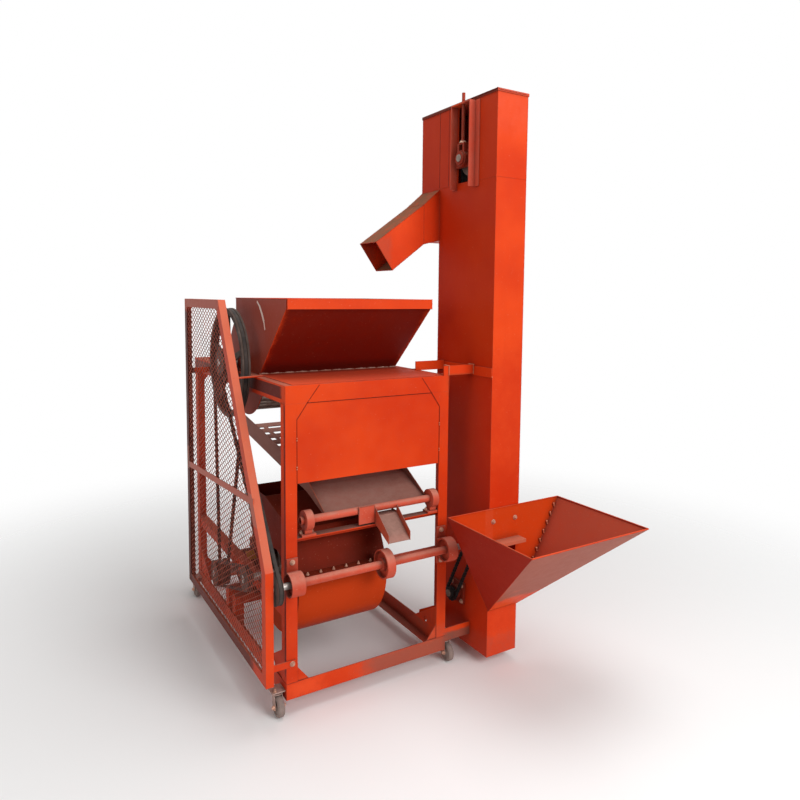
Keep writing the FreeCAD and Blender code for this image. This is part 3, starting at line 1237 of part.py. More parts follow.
def buckets():
    """Pressed buckets on both runs of the belt: mouths up on the rising front run, down on the back run."""
    a = TOWER_LEFT + (TOWER_WIDTH - ELEVATOR_BELT_WIDTH) / 2
    out = []
    low = BOOT_SHAFT_Z + BUCKET_START
    high = HEAD_SHAFT_Z - BUCKET_START
    count = int((high - low) / BUCKET_PITCH)
    face = ELEVATOR_PULLEY_R + SEAT + ELEVATOR_BELT
    h = BUCKET_HEIGHT
    r = BUCKET_REACH
    for k in range(count):
        z = low + k * BUCKET_PITCH + BUCKET_PITCH / 2
        outline = [(0, 0), (0, h), (-r, h * 0.72), (-r * 0.62, h * 0.12)]
        w = BUCKET_WALL
        hollow = [(-w, w * 1.6), (-w, h + 5), (-r + w, h * 0.72 + 5), (-r * 0.62 + w * 0.4, h * 0.12 + w)]
        shell = [(HEAD_SHAFT_Y - face + y, z + dz) for y, dz in outline]
        well = [(HEAD_SHAFT_Y - face + y, z + dz) for y, dz in hollow]
        front = prism(shell, "X", a, ELEVATOR_BELT_WIDTH)
        well = prism(well, "X", a + w, ELEVATOR_BELT_WIDTH - 2 * w)
        one = front.cut(well)
        out.append(one)
        other = one.copy()
        other.rotate(V(0, HEAD_SHAFT_Y, z), V(1, 0, 0), 180)
        other.translate(V(0, 0, BUCKET_PITCH / 2))
        out.append(other)
    return group(out)


def spout():
    """Square discharge pipe: a level piece on the head's leg, a bend, and the slope down to the mouth."""
    bend_x, bend_top, bend_low = SPOUT_BEND
    outline = [(TOWER_LEFT, SPOUT_START[1]), (bend_x, bend_top), SPOUT_MOUTH_TOP, SPOUT_MOUTH_BOTTOM,
               (bend_x, bend_low), (TOWER_LEFT, SPOUT_START[0])]
    y0 = TOWER_BACK
    y1 = HEAD_BACK
    outer = prism(outline, "Y", y0, y1 - y0)
    slope = math.atan2(bend_top - SPOUT_MOUTH_TOP[1], bend_x - SPOUT_MOUTH_TOP[0])
    lift = SHEET / math.cos(slope)
    back_x = SPOUT_LIP * math.cos(slope)
    back_z = SPOUT_LIP * math.sin(slope)
    reach = (SPOUT_MOUTH_TOP[0] - back_x, SPOUT_MOUTH_TOP[1] - back_z - lift)
    reach_low = (SPOUT_MOUTH_BOTTOM[0] - back_x, SPOUT_MOUTH_BOTTOM[1] - back_z + lift)
    hollow = [(TOWER_LEFT + 1, SPOUT_START[1] - SHEET * 1.4), (bend_x, bend_top - lift), reach, reach_low,
              (bend_x, bend_low + lift), (TOWER_LEFT + 1, SPOUT_START[0] + SHEET)]
    inner = prism(hollow, "Y", y0 + SHEET, y1 - y0 - 2 * SHEET)
    return outer.cut(inner)


def inlet_hopper():
    """Wide feeding hopper on the trunk: four plates that close in to the neck, and a hood over the inlet."""
    w = SHEET

    def rectangle(inset, z, x0, x1, y0, y1):
        p = [V(x0 + inset, y0 + inset, z), V(x1 - inset, y0 + inset, z)]
        p += [V(x1 - inset, y1 - w, z), V(x0 + inset, y1 - w, z)]
        return Part.makePolygon(p + p[:1])

    def outline(z, x0, x1, y0, y1):
        p = [V(x0, y0, z), V(x1, y0, z), V(x1, y1, z), V(x0, y1, z)]
        return Part.makePolygon(p + p[:1])

    neck = (TOWER_LEFT, TOWER_RIGHT, TOWER_FRONT - INLET_NECK_DEPTH, TOWER_FRONT)
    rim = (INLET_HOPPER_LEFT, INLET_HOPPER_RIGHT, INLET_HOPPER_FRONT, TOWER_FRONT)
    outer = Part.makeLoft([outline(INLET_NECK_Z, *neck), outline(INLET_RIM_Z, *rim)], True, True)
    inner = Part.makeLoft([rectangle(w, INLET_NECK_Z, *neck), rectangle(w, INLET_RIM_Z, *rim)], True, True)
    shell = outer.cut(inner)
    floor = box(neck[0], neck[1], neck[2], neck[3], INLET_NECK_Z - w, INLET_NECK_Z)
    m = INLET_MARGIN
    sill = INLET_NECK_Z + INLET_SILL
    window = box(TOWER_LEFT + m, TOWER_RIGHT - m, TOWER_FRONT - w - 1, TOWER_FRONT + 1, sill, INLET_TOP)
    hood_y = TOWER_FRONT - w - INLET_HOOD_DEPTH
    hood = box(TOWER_LEFT + 10, TOWER_RIGHT, hood_y, TOWER_FRONT - w, INLET_TOP, INLET_TOP + w)
    hood_lip = box(TOWER_LEFT + 10, TOWER_RIGHT, hood_y, hood_y + w, INLET_TOP - 12, INLET_TOP)
    return join([shell, floor, hood, hood_lip]).cut(window)


def tower_brackets():
    """Angles between the frame and the elevator: two at the top and two at the foot."""
    t = BRACKET_WALL
    leg = BRACKET_LEG
    low_leg = LOWER_BRACKET_LEG
    start = FRAME_WIDTH - BRACKET_LAP
    rear_end = TOWER_BACK - BRACKET_REAR_GAP
    out = []
    for y in (0, rear_end - leg):
        out.append(angle_bar((start, y, FRAME_TOP), leg, leg, TOWER_LEFT - t - start))
    z = UPPER_BRACKET_Z
    out.append(box(TOWER_LEFT - t, TOWER_LEFT, TOWER_FRONT, TOWER_BACK, z, z + leg))
    for y in (0, rear_end - low_leg):
        out.append(angle_bar((FRAME_WIDTH, y, LOWER_BRACKET_Z), low_leg, low_leg, TOWER_LEFT - FRAME_WIDTH))
    return group(out)


def guard_outline(inset):
    """Corners of the belt guard seen from the side, drawn in by an inset."""
    lean = math.atan2(GUARD_TOP_FRONT - GUARD_FRONT, GUARD_TOP - GUARD_KNEE_Z)
    side = inset / math.cos(lean)
    knee_drop = inset * math.tan(lean / 2)
    top_front = GUARD_TOP_FRONT + side - inset * math.tan(lean)
    return [(GUARD_FRONT + inset, GUARD_FOOT + inset), (GUARD_BACK - inset, GUARD_FOOT + inset),
            (GUARD_BACK - inset, GUARD_TOP - inset), (top_front, GUARD_TOP - inset),
            (GUARD_FRONT + inset, GUARD_KNEE_Z - knee_drop)]


def guard_front_y(z):
    """Front edge of the guard's slanted side at a height."""
    share = (z - GUARD_KNEE_Z) / (GUARD_TOP - GUARD_KNEE_Z)
    return GUARD_FRONT + share * (GUARD_TOP_FRONT - GUARD_FRONT)


def guard_frame():
    """Tray-like guard of angle: side flanges in one plane, the rim across, a brace and three straps."""
    wall = GUARD_WALL
    rim = prism(guard_outline(0), "X", GUARD_LEFT, GUARD_DEPTH)
    rim = rim.cut(prism(guard_outline(wall), "X", GUARD_LEFT - 1, GUARD_DEPTH + 2))
    flange = prism(guard_outline(0), "X", GUARD_LEFT, wall)
    flange = flange.cut(prism(guard_outline(GUARD_FLANGE), "X", GUARD_LEFT - 1, wall + 2))
    brace_front = guard_front_y(BRACE_FRONT_Z) + wall
    brace_back = GUARD_BACK - wall
    brace = [(brace_back, BRACE_BACK_Z), (brace_back, BRACE_BACK_Z + BRACE_WIDTH),
             (brace_front, BRACE_FRONT_Z + BRACE_WIDTH), (brace_front, BRACE_FRONT_Z)]
    parts = [rim, flange, prism(brace, "X", GUARD_LEFT, wall)]
    start = GUARD_LEFT + wall + 2 * MESH_WIRE + SEAT
    low = GUARD_FOOT + wall
    parts.append(box(start, ANGLE_LEG - 8, -STRAP_WALL, 0, low, low + STRAP_WIDTH))
    rear_y = GUARD_BACK - wall
    parts.append(box(start, 0, rear_y - STRAP_WALL, rear_y, STRAP_REAR_Z, STRAP_REAR_Z + STRAP_WIDTH))
    y0 = guard_front_y(FRAME_TOP) + 1
    y1 = y0 + STRAP_LEAN
    flat = [(start, y0), (STRAP_REACH, y1), (STRAP_REACH, y1 + STRAP_WIDTH), (start, y0 + STRAP_WIDTH)]
    parts.append(prism(flat, "Z", FRAME_TOP, STRAP_WALL))
    return join(parts)


def guard_mesh():
    """Guard mesh of long low diamonds: two layers of slanted wires that touch where they cross."""
    x0 = GUARD_LEFT + GUARD_WALL
    field = guard_outline(GUARD_FLANGE - MESH_LAP)
    depth = GUARD_BACK - GUARD_FRONT
    rise = depth * MESH_SHORT / MESH_LONG
    count = int((GUARD_TOP - GUARD_FOOT + rise) / MESH_SHORT)
    wires = []
    for layer in (0, 1):
        slab = prism(field, "X", x0 + layer * MESH_WIRE, MESH_WIRE)
        for k in range(count + 1):
            z = GUARD_FOOT - rise + k * MESH_SHORT
            near, far = (z, z + rise) if layer == 0 else (z + rise, z)
            points = [(GUARD_FRONT, near), (GUARD_BACK, far)]
            points += [(GUARD_BACK, far + MESH_WIRE), (GUARD_FRONT, near + MESH_WIRE)]
            wire = prism(points, "X", x0 + layer * MESH_WIRE, MESH_WIRE).common(slab)
            wires += wire.Solids
    return group(wires)


def caster_plates():
    """Caster top plates welded outside the foot beams at all four corners, each with its swivel pin."""
    half = CASTER_PLATE / 2
    plate = box(-CASTER_OUT - half, 0, CASTER_INSET_Y - half, CASTER_INSET_Y + half,
                CASTER_PLATE_TOP - CASTER_PLATE_WALL, CASTER_PLATE_TOP)
    pin = rod("Z", -CASTER_OUT, CASTER_INSET_Y, crown_top(), 9, CROWN_GAP)
    one = join([plate, pin])
    pair = [one, across(one)]
    return group(pair + [behind(shape) for shape in pair])


def crown_top():
    """Height of the lower end of the swivel pin, just above the crown of the fork."""
    return CASTER_PLATE_TOP - CASTER_PLATE_WALL - CROWN_GAP


def caster_fork(x, y):
    """Fork of a caster: a round crown, a bridge, two cheeks and the axle."""
    inner = WHEEL_WIDTH / 2 + FORK_CLEAR
    outer = inner + FORK_WALL
    base = crown_top() - SEAT - CROWN_HEIGHT
    depth = FORK_HALF_DEPTH
    crown = rod("Z", x, y, base, CROWN_R, CROWN_HEIGHT)
    bridge = box(x - outer, x + outer, y - depth, y + depth, base - FORK_WALL, base)
    parts = [crown, bridge]
    wheel_y = y - CASTER_TRAIL
    for side in (-1, 1):
        x0 = min(x + side * inner, x + side * outer)
        cheek = [(y + depth, base), (y - depth, base), (wheel_y - 11, WHEEL_R + 4)]
        cheek += [(wheel_y - 8, WHEEL_R - 9), (wheel_y + 8, WHEEL_R - 9), (wheel_y + 12, WHEEL_R + 2)]
        parts.append(prism(cheek, "X", x0, FORK_WALL))
    parts.append(rod("X", x - outer - 3, wheel_y, WHEEL_R, AXLE_R, 2 * outer + 6))
    return join(parts)


def caster_wheel(x, y):
    """Solid wheel with a rounded tread and a bore for the axle."""
    wheel_y = y - CASTER_TRAIL
    h = WHEEL_WIDTH / 2
    step = 3
    half_profile = [(-h, AXLE_R + SHAFT_CLEAR), (-h, AXLE_R + 6), (step - h, AXLE_R + 7)]
    half_profile += [(step - h, WHEEL_R - 12), (-h, WHEEL_R - 11), (-h, WHEEL_R - 4), (step + 1 - h, WHEEL_R)]
    outline = half_profile + [(-a, r) for a, r in reversed(half_profile)]
    return turned([(x + a, r) for a, r in outline], wheel_y, WHEEL_R)


def caster_places():
    """Swivel axis of each caster, by name."""
    places = {}
    for side, x in (("left", -CASTER_OUT), ("right", FRAME_WIDTH + CASTER_OUT)):
        for end, y in (("front", CASTER_INSET_Y), ("rear", FRAME_DEPTH - CASTER_INSET_Y)):
            places[end + "_" + side] = (x, y)
    return places


def plate_bolts():
    """Bolts on the lay shaft plates, the guard strap, the inlet hopper's back and the boot bearings."""
    out = []
    for x0, x1, r in (LAY_LEFT_RING, LAY_RIGHT_RING):
        x = lay_plate_left(x0, x1) + LAY_PLATE_WIDTH / 2
        out.append(bolt("Y", x, -LAY_PLATE_WALL, LAY_Z + r + 20, 0, -1))
        out.append(bolt("Y", x, -LAY_PLATE_WALL, LAY_Z - r - 12, 0, -1))
    strap_z = GUARD_FOOT + GUARD_WALL + STRAP_WIDTH / 2
    out.append(bolt("Y", ANGLE_LEG / 2, -STRAP_WALL, strap_z, 0, -1))
    back = TOWER_FRONT - SHEET
    for x in (TOWER_LEFT + 20, TOWER_RIGHT - 20):
        out.append(bolt("Y", x, back, INLET_RIM_Z - 55, 0, -1))
    reach = BOOT_BOLT_SPACING / 2
    for x, way in ((TOWER_LEFT - BOOT_FLANGE_WALL, -1), (TOWER_RIGHT + BOOT_FLANGE_WALL, 1)):
        for dy in (-reach, reach):
            for dz in (-reach, reach):
                out.append(bolt("X", x, HEAD_SHAFT_Y + dy, BOOT_SHAFT_Z + dz, 0, way))
    return group(out)


os.makedirs("parts", exist_ok=True)
save("posts", group(posts()))
save("top_beams", group(top_beams()))
save("foot_beams", group(foot_beams()))
save("corner_gussets", corner_gussets())
save("inner_rails", rails())
save("motor_bench", bench_cross_rails())
save("front_panel", front_panel())
save("feed_hopper", feed_hopper())
save("drum_casing", drum_casing())
save("concave_screen", concave_screen())
save("drum_shaft", drum_shaft())
save("beater_drum", beater_drum())
save("drum_pulley", drum_pulley())
save("shaft_bearings", shaft_bearings())
save("fan_housing", fan_housing())
save("fan_shaft", fan_shaft())
save("fan_impeller", fan_impeller())
save("fan_pulley", small_pulley(OUTER_BELT_X, FAN_PULLEY_R, FAN_Y, FAN_Z, FAN_SHAFT_R, OUTER_BELT_X + 24))
save("motor_body", motor_body())
save("motor_shaft", motor_rotor())
save("motor_pulley", motor_pulley())
drum = (DRUM_Y, DRUM_Z)
motor = (MOTOR_Y, MOTOR_Z)
save("drum_belt", belt_between(drum, DRUM_PULLEY_R, motor, MOTOR_PULLEY_R, INNER_BELT_X))
save("fan_belt", belt_between(motor, MOTOR_PULLEY_R, (FAN_Y, FAN_Z), FAN_PULLEY_R, OUTER_BELT_X))
save("lay_belt", belt_between(drum, COUNTER_PULLEY_R, (LAY_Y, LAY_Z), LAY_PULLEY_R, OUTER_BELT_X))
save("lay_bearings", lay_bearings())
save("lay_tube", lay_tube())
save("lay_shaft", lay_shaft())
save("lay_pulley", small_pulley(OUTER_BELT_X, LAY_PULLEY_R, LAY_Y, LAY_Z, LAY_SHAFT_R, OUTER_BELT_X + 24))
hub_x0 = LAY_SPROCKET_X - 16
hub_x1 = LAY_SPROCKET_X + 8
save("lay_sprocket", sprocket(LAY_Y, LAY_Z, LAY_SHAFT_R, hub_x0, hub_x1))
save("drive_chain", drive_chain())
save("rocker_bearings", rocker_bearings())
save("rocker_tube", rocker_tube())
save("sieve_box", sieve_box())
save("connecting_rod", connecting_rod())
save("kernel_chute", kernel_chute())
save("tower_column", tower_column())
save("tower_head", tower_head())
save("head_lid", head_lid())
save("take_up_rails", take_up_rails())
save("take_up_blocks", take_up_blocks())
reach = TAKE_UP_WALL + SEAT + HUB_STEP + SHAFT_END
save("head_pulley", elevator_drum(HEAD_SHAFT_Z, TOWER_LEFT - reach, TOWER_RIGHT + reach))
save("boot_pulley", elevator_drum(BOOT_SHAFT_Z, LAY_SPROCKET_X - 20, TOWER_RIGHT + BOOT_HUB + SHAFT_END))
save("boot_bearings", boot_bearings())
save("boot_sprocket", sprocket(HEAD_SHAFT_Y, BOOT_SHAFT_Z, ELEVATOR_SHAFT_R, hub_x0, hub_x1))
save("elevator_belt", elevator_belt())
save("buckets", buckets())
save("spout", spout())
save("inlet_hopper", inlet_hopper())
save("tower_brackets", tower_brackets())
save("guard_frame", guard_frame())
save("guard_mesh", guard_mesh())
save("caster_plates", caster_plates())
places = caster_places()
for corner, (caster_x, caster_y) in places.items():
    save("caster_wheel_" + corner, caster_wheel(caster_x, caster_y))
for corner in ("front_left", "front_right"):
    save("caster_fork_" + corner, caster_fork(*places[corner]))
save("rear_caster_forks", group([caster_fork(*places[corner]) for corner in ("rear_left", "rear_right")]))
save("plate_bolts", plate_bolts())
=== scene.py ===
"""Looks of the peanut sheller and its bucket elevator: finishes, welds, bolts, mesh, light and camera."""

import json
import logging
import math
from dataclasses import dataclass
from enum import Enum

import bmesh
import bpy
from mathutils import Matrix, Vector


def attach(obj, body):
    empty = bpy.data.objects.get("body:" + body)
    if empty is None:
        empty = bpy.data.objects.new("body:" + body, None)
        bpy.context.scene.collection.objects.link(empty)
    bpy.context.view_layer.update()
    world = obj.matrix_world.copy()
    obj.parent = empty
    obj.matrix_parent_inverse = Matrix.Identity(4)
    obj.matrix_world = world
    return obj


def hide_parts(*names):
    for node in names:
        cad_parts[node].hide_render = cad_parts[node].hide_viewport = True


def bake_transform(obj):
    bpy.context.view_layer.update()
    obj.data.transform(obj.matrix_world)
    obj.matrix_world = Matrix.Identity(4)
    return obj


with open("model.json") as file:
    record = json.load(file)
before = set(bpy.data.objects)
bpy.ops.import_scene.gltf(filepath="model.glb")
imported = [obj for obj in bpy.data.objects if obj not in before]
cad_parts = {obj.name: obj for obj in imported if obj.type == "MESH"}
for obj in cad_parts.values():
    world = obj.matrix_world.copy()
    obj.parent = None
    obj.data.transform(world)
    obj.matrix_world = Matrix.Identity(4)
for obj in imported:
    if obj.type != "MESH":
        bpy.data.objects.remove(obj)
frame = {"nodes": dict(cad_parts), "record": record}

log = logging.getLogger("sheller")

Colour = tuple[float, float, float]
Point = tuple[float, float, float]

# Cosines between which a face comes to count as looking a patch's way.
FACING = (0.80, 0.93)

# The CAD measures from the outer front left foot of the frame; this is its footprint's middle in metres.
FOOTPRINT = Vector((0.5635, 0.315, 0.0))


def at(x: float, y: float, z: float) -> Vector:
    """Point in the row frame from millimetres measured at the front left foot."""
    return Vector((x, y, z)) * 0.001 - FOOTPRINT


def srgb(red: int, green: int, blue: int) -> Colour:
    """Linear colour from the 0 to 255 numbers of a screen colour."""
    shares = [v / 255.0 for v in (red, green, blue)]
    return tuple(c / 12.92 if c <= 0.04045 else ((c + 0.055) / 1.055) ** 2.4 for c in shares)


class Body(Enum):
    """Rigid bodies that new pieces move with."""

    MACHINE = "machine"
    TAKE_UP = "take_up"
    SIEVE = "sieve"
    LEFT_FORK = "front_left_fork"
    RIGHT_FORK = "front_right_fork"


class Shading:
    """Small helper that adds shader nodes to one material and links them."""

    def __init__(self, name: str) -> None:
        """Start an empty material with a Principled shader.

        Args:
            name: name of the material.
        """
        self.material = bpy.data.materials.new(name)
        self.material.use_nodes = True
        self.tree = self.material.node_tree
        self.tree.nodes.clear()
        self.shader = self.tree.nodes.new("ShaderNodeBsdfPrincipled")
        output = self.tree.nodes.new("ShaderNodeOutputMaterial")
        self.tree.links.new(self.shader.outputs[0], output.inputs[0])
        self.place = self.tree.nodes.new("ShaderNodeTexCoord").outputs["Object"]
        self.geometry = self.tree.nodes.new("ShaderNodeNewGeometry")

    def link(self, source: bpy.types.NodeSocket, target: bpy.types.NodeSocket) -> None:
        """Join two sockets."""
        self.tree.links.new(source, target)

    def noise(self, scale: float, detail: float = 4.0, roughness: float = 0.6,
              stretch: Point | None = None) -> bpy.types.NodeSocket:
        """Noise on the object's own coordinates.

        Args:
            scale: repeats per metre.
            detail: octaves.
            roughness: weight of the fine octaves.
            stretch: scale along each axis, for streaks.

        Returns:
            The value socket, from 0 to 1.
        """
        node = self.tree.nodes.new("ShaderNodeTexNoise")
        node.inputs["Scale"].default_value = scale
        node.inputs["Detail"].default_value = detail
        node.inputs["Roughness"].default_value = roughness
        source = self.place
        if stretch:
            mapping = self.tree.nodes.new("ShaderNodeMapping")
            mapping.inputs["Scale"].default_value = stretch
            self.link(source, mapping.inputs["Vector"])
            source = mapping.outputs[0]
        self.link(source, node.inputs["Vector"])
        return node.outputs["Fac"]

    def ramp(self, value: bpy.types.NodeSocket, low: float, high: float, start: float = 0.0,
             end: float = 1.0) -> bpy.types.NodeSocket:
        """Clamped smooth step of a value.

        Args:
            value: socket to map.
            low: value that gives start.
            high: value that gives end.
            start: result below low.
            end: result above high.

        Returns:
            The mapped socket.
        """
        node = self.tree.nodes.new("ShaderNodeMapRange")
        node.interpolation_type = "SMOOTHSTEP"
        node.inputs["From Min"].default_value = low
        node.inputs["From Max"].default_value = high
        node.inputs["To Min"].default_value = start
        node.inputs["To Max"].default_value = end
        self.link(value, node.inputs["Value"])
        return node.outputs["Result"]

    def math(self, operation: str, first: bpy.types.NodeSocket,
             second: bpy.types.NodeSocket | float) -> bpy.types.NodeSocket:
        """Math node on two values.

        Args:
            operation: name of the operation.
            first: first socket.
            second: second socket or a number.

        Returns:
            The result socket.
        """
        node = self.tree.nodes.new("ShaderNodeMath")
        node.operation = operation
        node.use_clamp = operation in ("ADD", "MULTIPLY")
        self.link(first, node.inputs[0])
        if isinstance(second, (int, float)):
            node.inputs[1].default_value = second
        else:
            self.link(second, node.inputs[1])
        return node.outputs[0]

    def mix(self, share: bpy.types.NodeSocket, first: Colour | bpy.types.NodeSocket,
            second: Colour | bpy.types.NodeSocket) -> bpy.types.NodeSocket:
        """Colour between two colours.

        Args:
            share: how much of the second colour.
            first: colour or socket.
            second: colour or socket.

        Returns:
            The colour socket.
        """
        node = self.tree.nodes.new("ShaderNodeMix")
        node.data_type = "RGBA"
        self.link(share, node.inputs["Factor"])
        for name, value in (("A", first), ("B", second)):
            socket = next(s for s in node.inputs if s.name == name and s.type == "RGBA")
            if isinstance(value, tuple):
                socket.default_value = (*value, 1.0)
            else:
                self.link(value, socket)
        return next(s for s in node.outputs if s.type == "RGBA")

    def upward(self) -> bpy.types.NodeSocket:
        """How far the surface faces up.

        Returns:
            The value socket, from -1 to 1.
        """
        split = self.tree.nodes.new("ShaderNodeSeparateXYZ")
        self.link(self.geometry.outputs["Normal"], split.inputs[0])
        return split.outputs["Z"]

    def facing(self, direction: Point) -> bpy.types.NodeSocket:
        """Mask of the faces that look one way, 1 where they do.

        Args:
            direction: outward direction of those faces.

        Returns:
            The mask socket.
        """
        dot = self.tree.nodes.new("ShaderNodeVectorMath")
        dot.operation = "DOT_PRODUCT"
        self.link(self.geometry.outputs["Normal"], dot.inputs[0])
        dot.inputs[1].default_value = Vector(direction).normalized()
        return self.ramp(dot.outputs["Value"], FACING[0], FACING[1])

    def region(self, centre: Vector, reach: Vector, ragged: bpy.types.NodeSocket,
               soft: float) -> bpy.types.NodeSocket:
        """Mask of a block of space with a ragged border, 1 inside.

        Args:
            centre: middle of the block in metres.
            reach: half sizes of the block in metres.
            ragged: noise that frays the border.
            soft: width of the border as a share of the block.

        Returns:
            The mask socket.
        """
        source = self.place
        for operation, value in (("SUBTRACT", centre), ("DIVIDE", reach), ("ABSOLUTE", None)):
            node = self.tree.nodes.new("ShaderNodeVectorMath")
            node.operation = operation
            self.link(source, node.inputs[0])
            if value is not None:
                node.inputs[1].default_value = value
            source = node.outputs[0]
        split = self.tree.nodes.new("ShaderNodeSeparateXYZ")
        self.link(source, split.inputs[0])
        far = self.math("MAXIMUM", split.outputs["X"], split.outputs["Y"])
        far = self.math("MAXIMUM", far, split.outputs["Z"])
        frayed = self.tree.nodes.new("ShaderNodeMath")
        frayed.operation = "MULTIPLY_ADD"
        self.link(ragged, frayed.inputs[0])
        frayed.inputs[1].default_value = 2.0 * soft
        self.link(far, frayed.inputs[2])
        return self.ramp(frayed.outputs[0], 1.0, 1.0 + 1.6 * soft, 1.0, 0.0)

    def edges(self, radius: float) -> bpy.types.NodeSocket:
        """Mask of the sharp edges, 1 at an edge.

        Args:
            radius: reach of the mask in metres.

        Returns:
            The mask socket.
        """
        bevel = self.tree.nodes.new("ShaderNodeBevel")
        bevel.samples = 4
        bevel.inputs["Radius"].default_value = radius
        dot = self.tree.nodes.new("ShaderNodeVectorMath")
        dot.operation = "DOT_PRODUCT"
        self.link(bevel.outputs[0], dot.inputs[0])
        self.link(self.geometry.outputs["Normal"], dot.inputs[1])
        return self.ramp(dot.outputs["Value"], 0.80, 0.995, 1.0, 0.0)

    def crevices(self, reach: float) -> bpy.types.NodeSocket:
        """Mask of the places that other surfaces close in on, 1 in a crevice, for painted shade.

        Args:
            reach: how far a surface may be to count, in metres.

        Returns:
            The mask socket.
        """
        open_sky = self.tree.nodes.new("ShaderNodeAmbientOcclusion")
        open_sky.samples = 6
        open_sky.inputs["Distance"].default_value = reach
        return self.ramp(open_sky.outputs["AO"], 0.35, 0.92, 1.0, 0.0)

    def bump(self, height: bpy.types.NodeSocket, distance: float, rounding: float = 0.0) -> None:
        """Relief on the shader's normal.

        Args:
            height: relief from 0 to 1.
            distance: depth in metres.
            rounding: radius that the sharp edges are shaded with.
        """
        node = self.tree.nodes.new("ShaderNodeBump")
        node.inputs["Distance"].default_value = distance
        self.link(height, node.inputs["Height"])
        if rounding > 0:
            bevel = self.tree.nodes.new("ShaderNodeBevel")
            bevel.samples = 4
            bevel.inputs["Radius"].default_value = rounding
            self.link(bevel.outputs[0], node.inputs["Normal"])
        self.link(node.outputs[0], self.shader.inputs["Normal"])


@dataclass(frozen=True)
class Patch:
    """Place where a paint is dirtier, cleaner, darker or paler, by block of space, by facing or by both;
    several patches are painted shade or painted light.
    """

    tone: Colour
    strength: float = 0.8
    low: Point | None = None
    high: Point | None = None
    facing: Point | None = None
    soft: float = 0.3

    def mask(self, s: Shading, ragged: bpy.types.NodeSocket) -> bpy.types.NodeSocket:
        """How much of the patch shows.

        Args:
            s: shading of the material.
            ragged: noise that frays its border.

        Returns:
            The mask socket.
        """
        share = s.ramp(ragged, 0.05, 0.55, 0.86, 1.0)
        if self.facing is not None:
            share = s.math("MULTIPLY", s.facing(self.facing), share)
        if self.low is not None and self.high is not None:
            low, high = at(*self.low), at(*self.high)
            block = s.region((low + high) / 2, (high - low) / 2, ragged, self.soft)
            share = s.math("MULTIPLY", block, share)
        return s.math("MULTIPLY", share, self.strength)


@dataclass(frozen=True)
class Paint:
    """Brushed workshop enamel: two tones, runs, dust on what faces up, rubbed edges, specks, painted shade
    in crevices, and patches.
    """

    name: str
    tone: Colour
    shade: Colour
    dust: Colour = (0.30, 0.16, 0.12)
    top_dust: float = 0.6
    film: float = 0.12
    wear: float = 0.35
    bare: Colour = (0.20, 0.10, 0.08)
    gloss: float = 0.42
    streaks: float = 0.25
    sheen: float = 0.10
    specks: float = 0.16
    # how much painted shade the crevices get
    crevice_shade: float = 0.5
    patches: tuple[Patch, ...] = ()

    def build(self) -> bpy.types.Material:
        """Make the material.

        Returns:
            The finished material.
        """
        s = Shading(self.name)
        broad = s.noise(2.3, 3.0, 0.55)
        fine = s.noise(26.0, 6.0, 0.7)
        grit = s.noise(240.0, 3.0, 0.6)
        streak = s.noise(9.0, 4.0, 0.6, (1.0, 1.0, 0.09))
        colour = s.mix(s.ramp(broad, 0.32, 0.68), self.shade, self.tone)
        runs = s.math("MULTIPLY", s.ramp(streak, 0.52, 0.74), self.streaks)
        colour = s.mix(runs, colour, self.shade)
        for patch in self.patches:
            colour = s.mix(patch.mask(s, fine), colour, patch.tone)
        patches = s.ramp(fine, 0.30, 0.72)
        on_top = s.math("MULTIPLY", s.ramp(s.upward(), 0.12, 0.80), self.top_dust)
        on_top = s.math("MULTIPLY", on_top, s.ramp(fine, 0.18, 0.58, 0.55, 1.0))
        film = s.math("MULTIPLY", patches, self.film)
        dusty = s.math("ADD", on_top, film)
        colour = s.mix(dusty, colour, self.dust)
        rubbed = s.math("MULTIPLY", s.edges(0.0035), s.ramp(fine, 0.42, 0.66))
        rubbed = s.math("MULTIPLY", rubbed, self.wear)
        colour = s.mix(rubbed, colour, self.bare)
        spot = s.noise(150.0, 2.0, 0.5)
        colour = s.mix(s.math("MULTIPLY", s.ramp(spot, 0.69, 0.75), self.specks), colour, SPECK)
        colour = s.mix(s.math("MULTIPLY", s.ramp(spot, 0.32, 0.26), self.specks), colour, self.bare)
        # painted shade: the colour darkens where other surfaces close in, as ambient occlusion finds
        colour = s.mix(s.math("MULTIPLY", s.crevices(0.055), self.crevice_shade), colour, CREVICE_SHADE_COLOUR)
        s.link(colour, s.shader.inputs["Base Color"])
        rough = s.ramp(s.math("ADD", dusty, s.math("MULTIPLY", fine, 0.35)), 0.0, 1.0, self.gloss, 0.92)
        s.link(rough, s.shader.inputs["Roughness"])
        s.shader.inputs["Specular IOR Level"].default_value = self.sheen
        relief = s.math("ADD", s.math("MULTIPLY", fine, 0.6), s.math("MULTIPLY", grit, 0.25))
        s.bump(relief, 0.0009, 0.0016)
        return s.material


@dataclass(frozen=True)
class Metal:
    """Bare or plated metal with dirt in its patches."""

    name: str
    tone: Colour
    dirt: Colour
    dirty: float = 0.5
    metallic: float = 0.85
    gloss: float = 0.38
    top_dust: float = 0.3

    def build(self) -> bpy.types.Material:
        """Make the material.

        Returns:
            The finished material.
        """
        s = Shading(self.name)
        broad = s.noise(14.0, 5.0, 0.65)
        fine = s.noise(90.0, 4.0, 0.6)
        share = s.math("MULTIPLY", s.ramp(broad, 0.36, 0.66), self.dirty)
        on_top = s.math("MULTIPLY", s.ramp(s.upward(), 0.2, 0.9), self.top_dust)
        share = s.math("ADD", share, on_top)
        s.link(s.mix(share, self.tone, self.dirt), s.shader.inputs["Base Color"])
        s.link(s.ramp(share, 0.0, 1.0, self.metallic, self.metallic * 0.15), s.shader.inputs["Metallic"])
        s.link(s.ramp(s.math("ADD", share, s.math("MULTIPLY", fine, 0.3)), 0.0, 1.0, self.gloss, 0.85),
               s.shader.inputs["Roughness"])
        s.bump(s.math("ADD", s.math("MULTIPLY", fine, 0.4), s.math("MULTIPLY", broad, 0.3)), 0.0006, 0.0010)
        return s.material


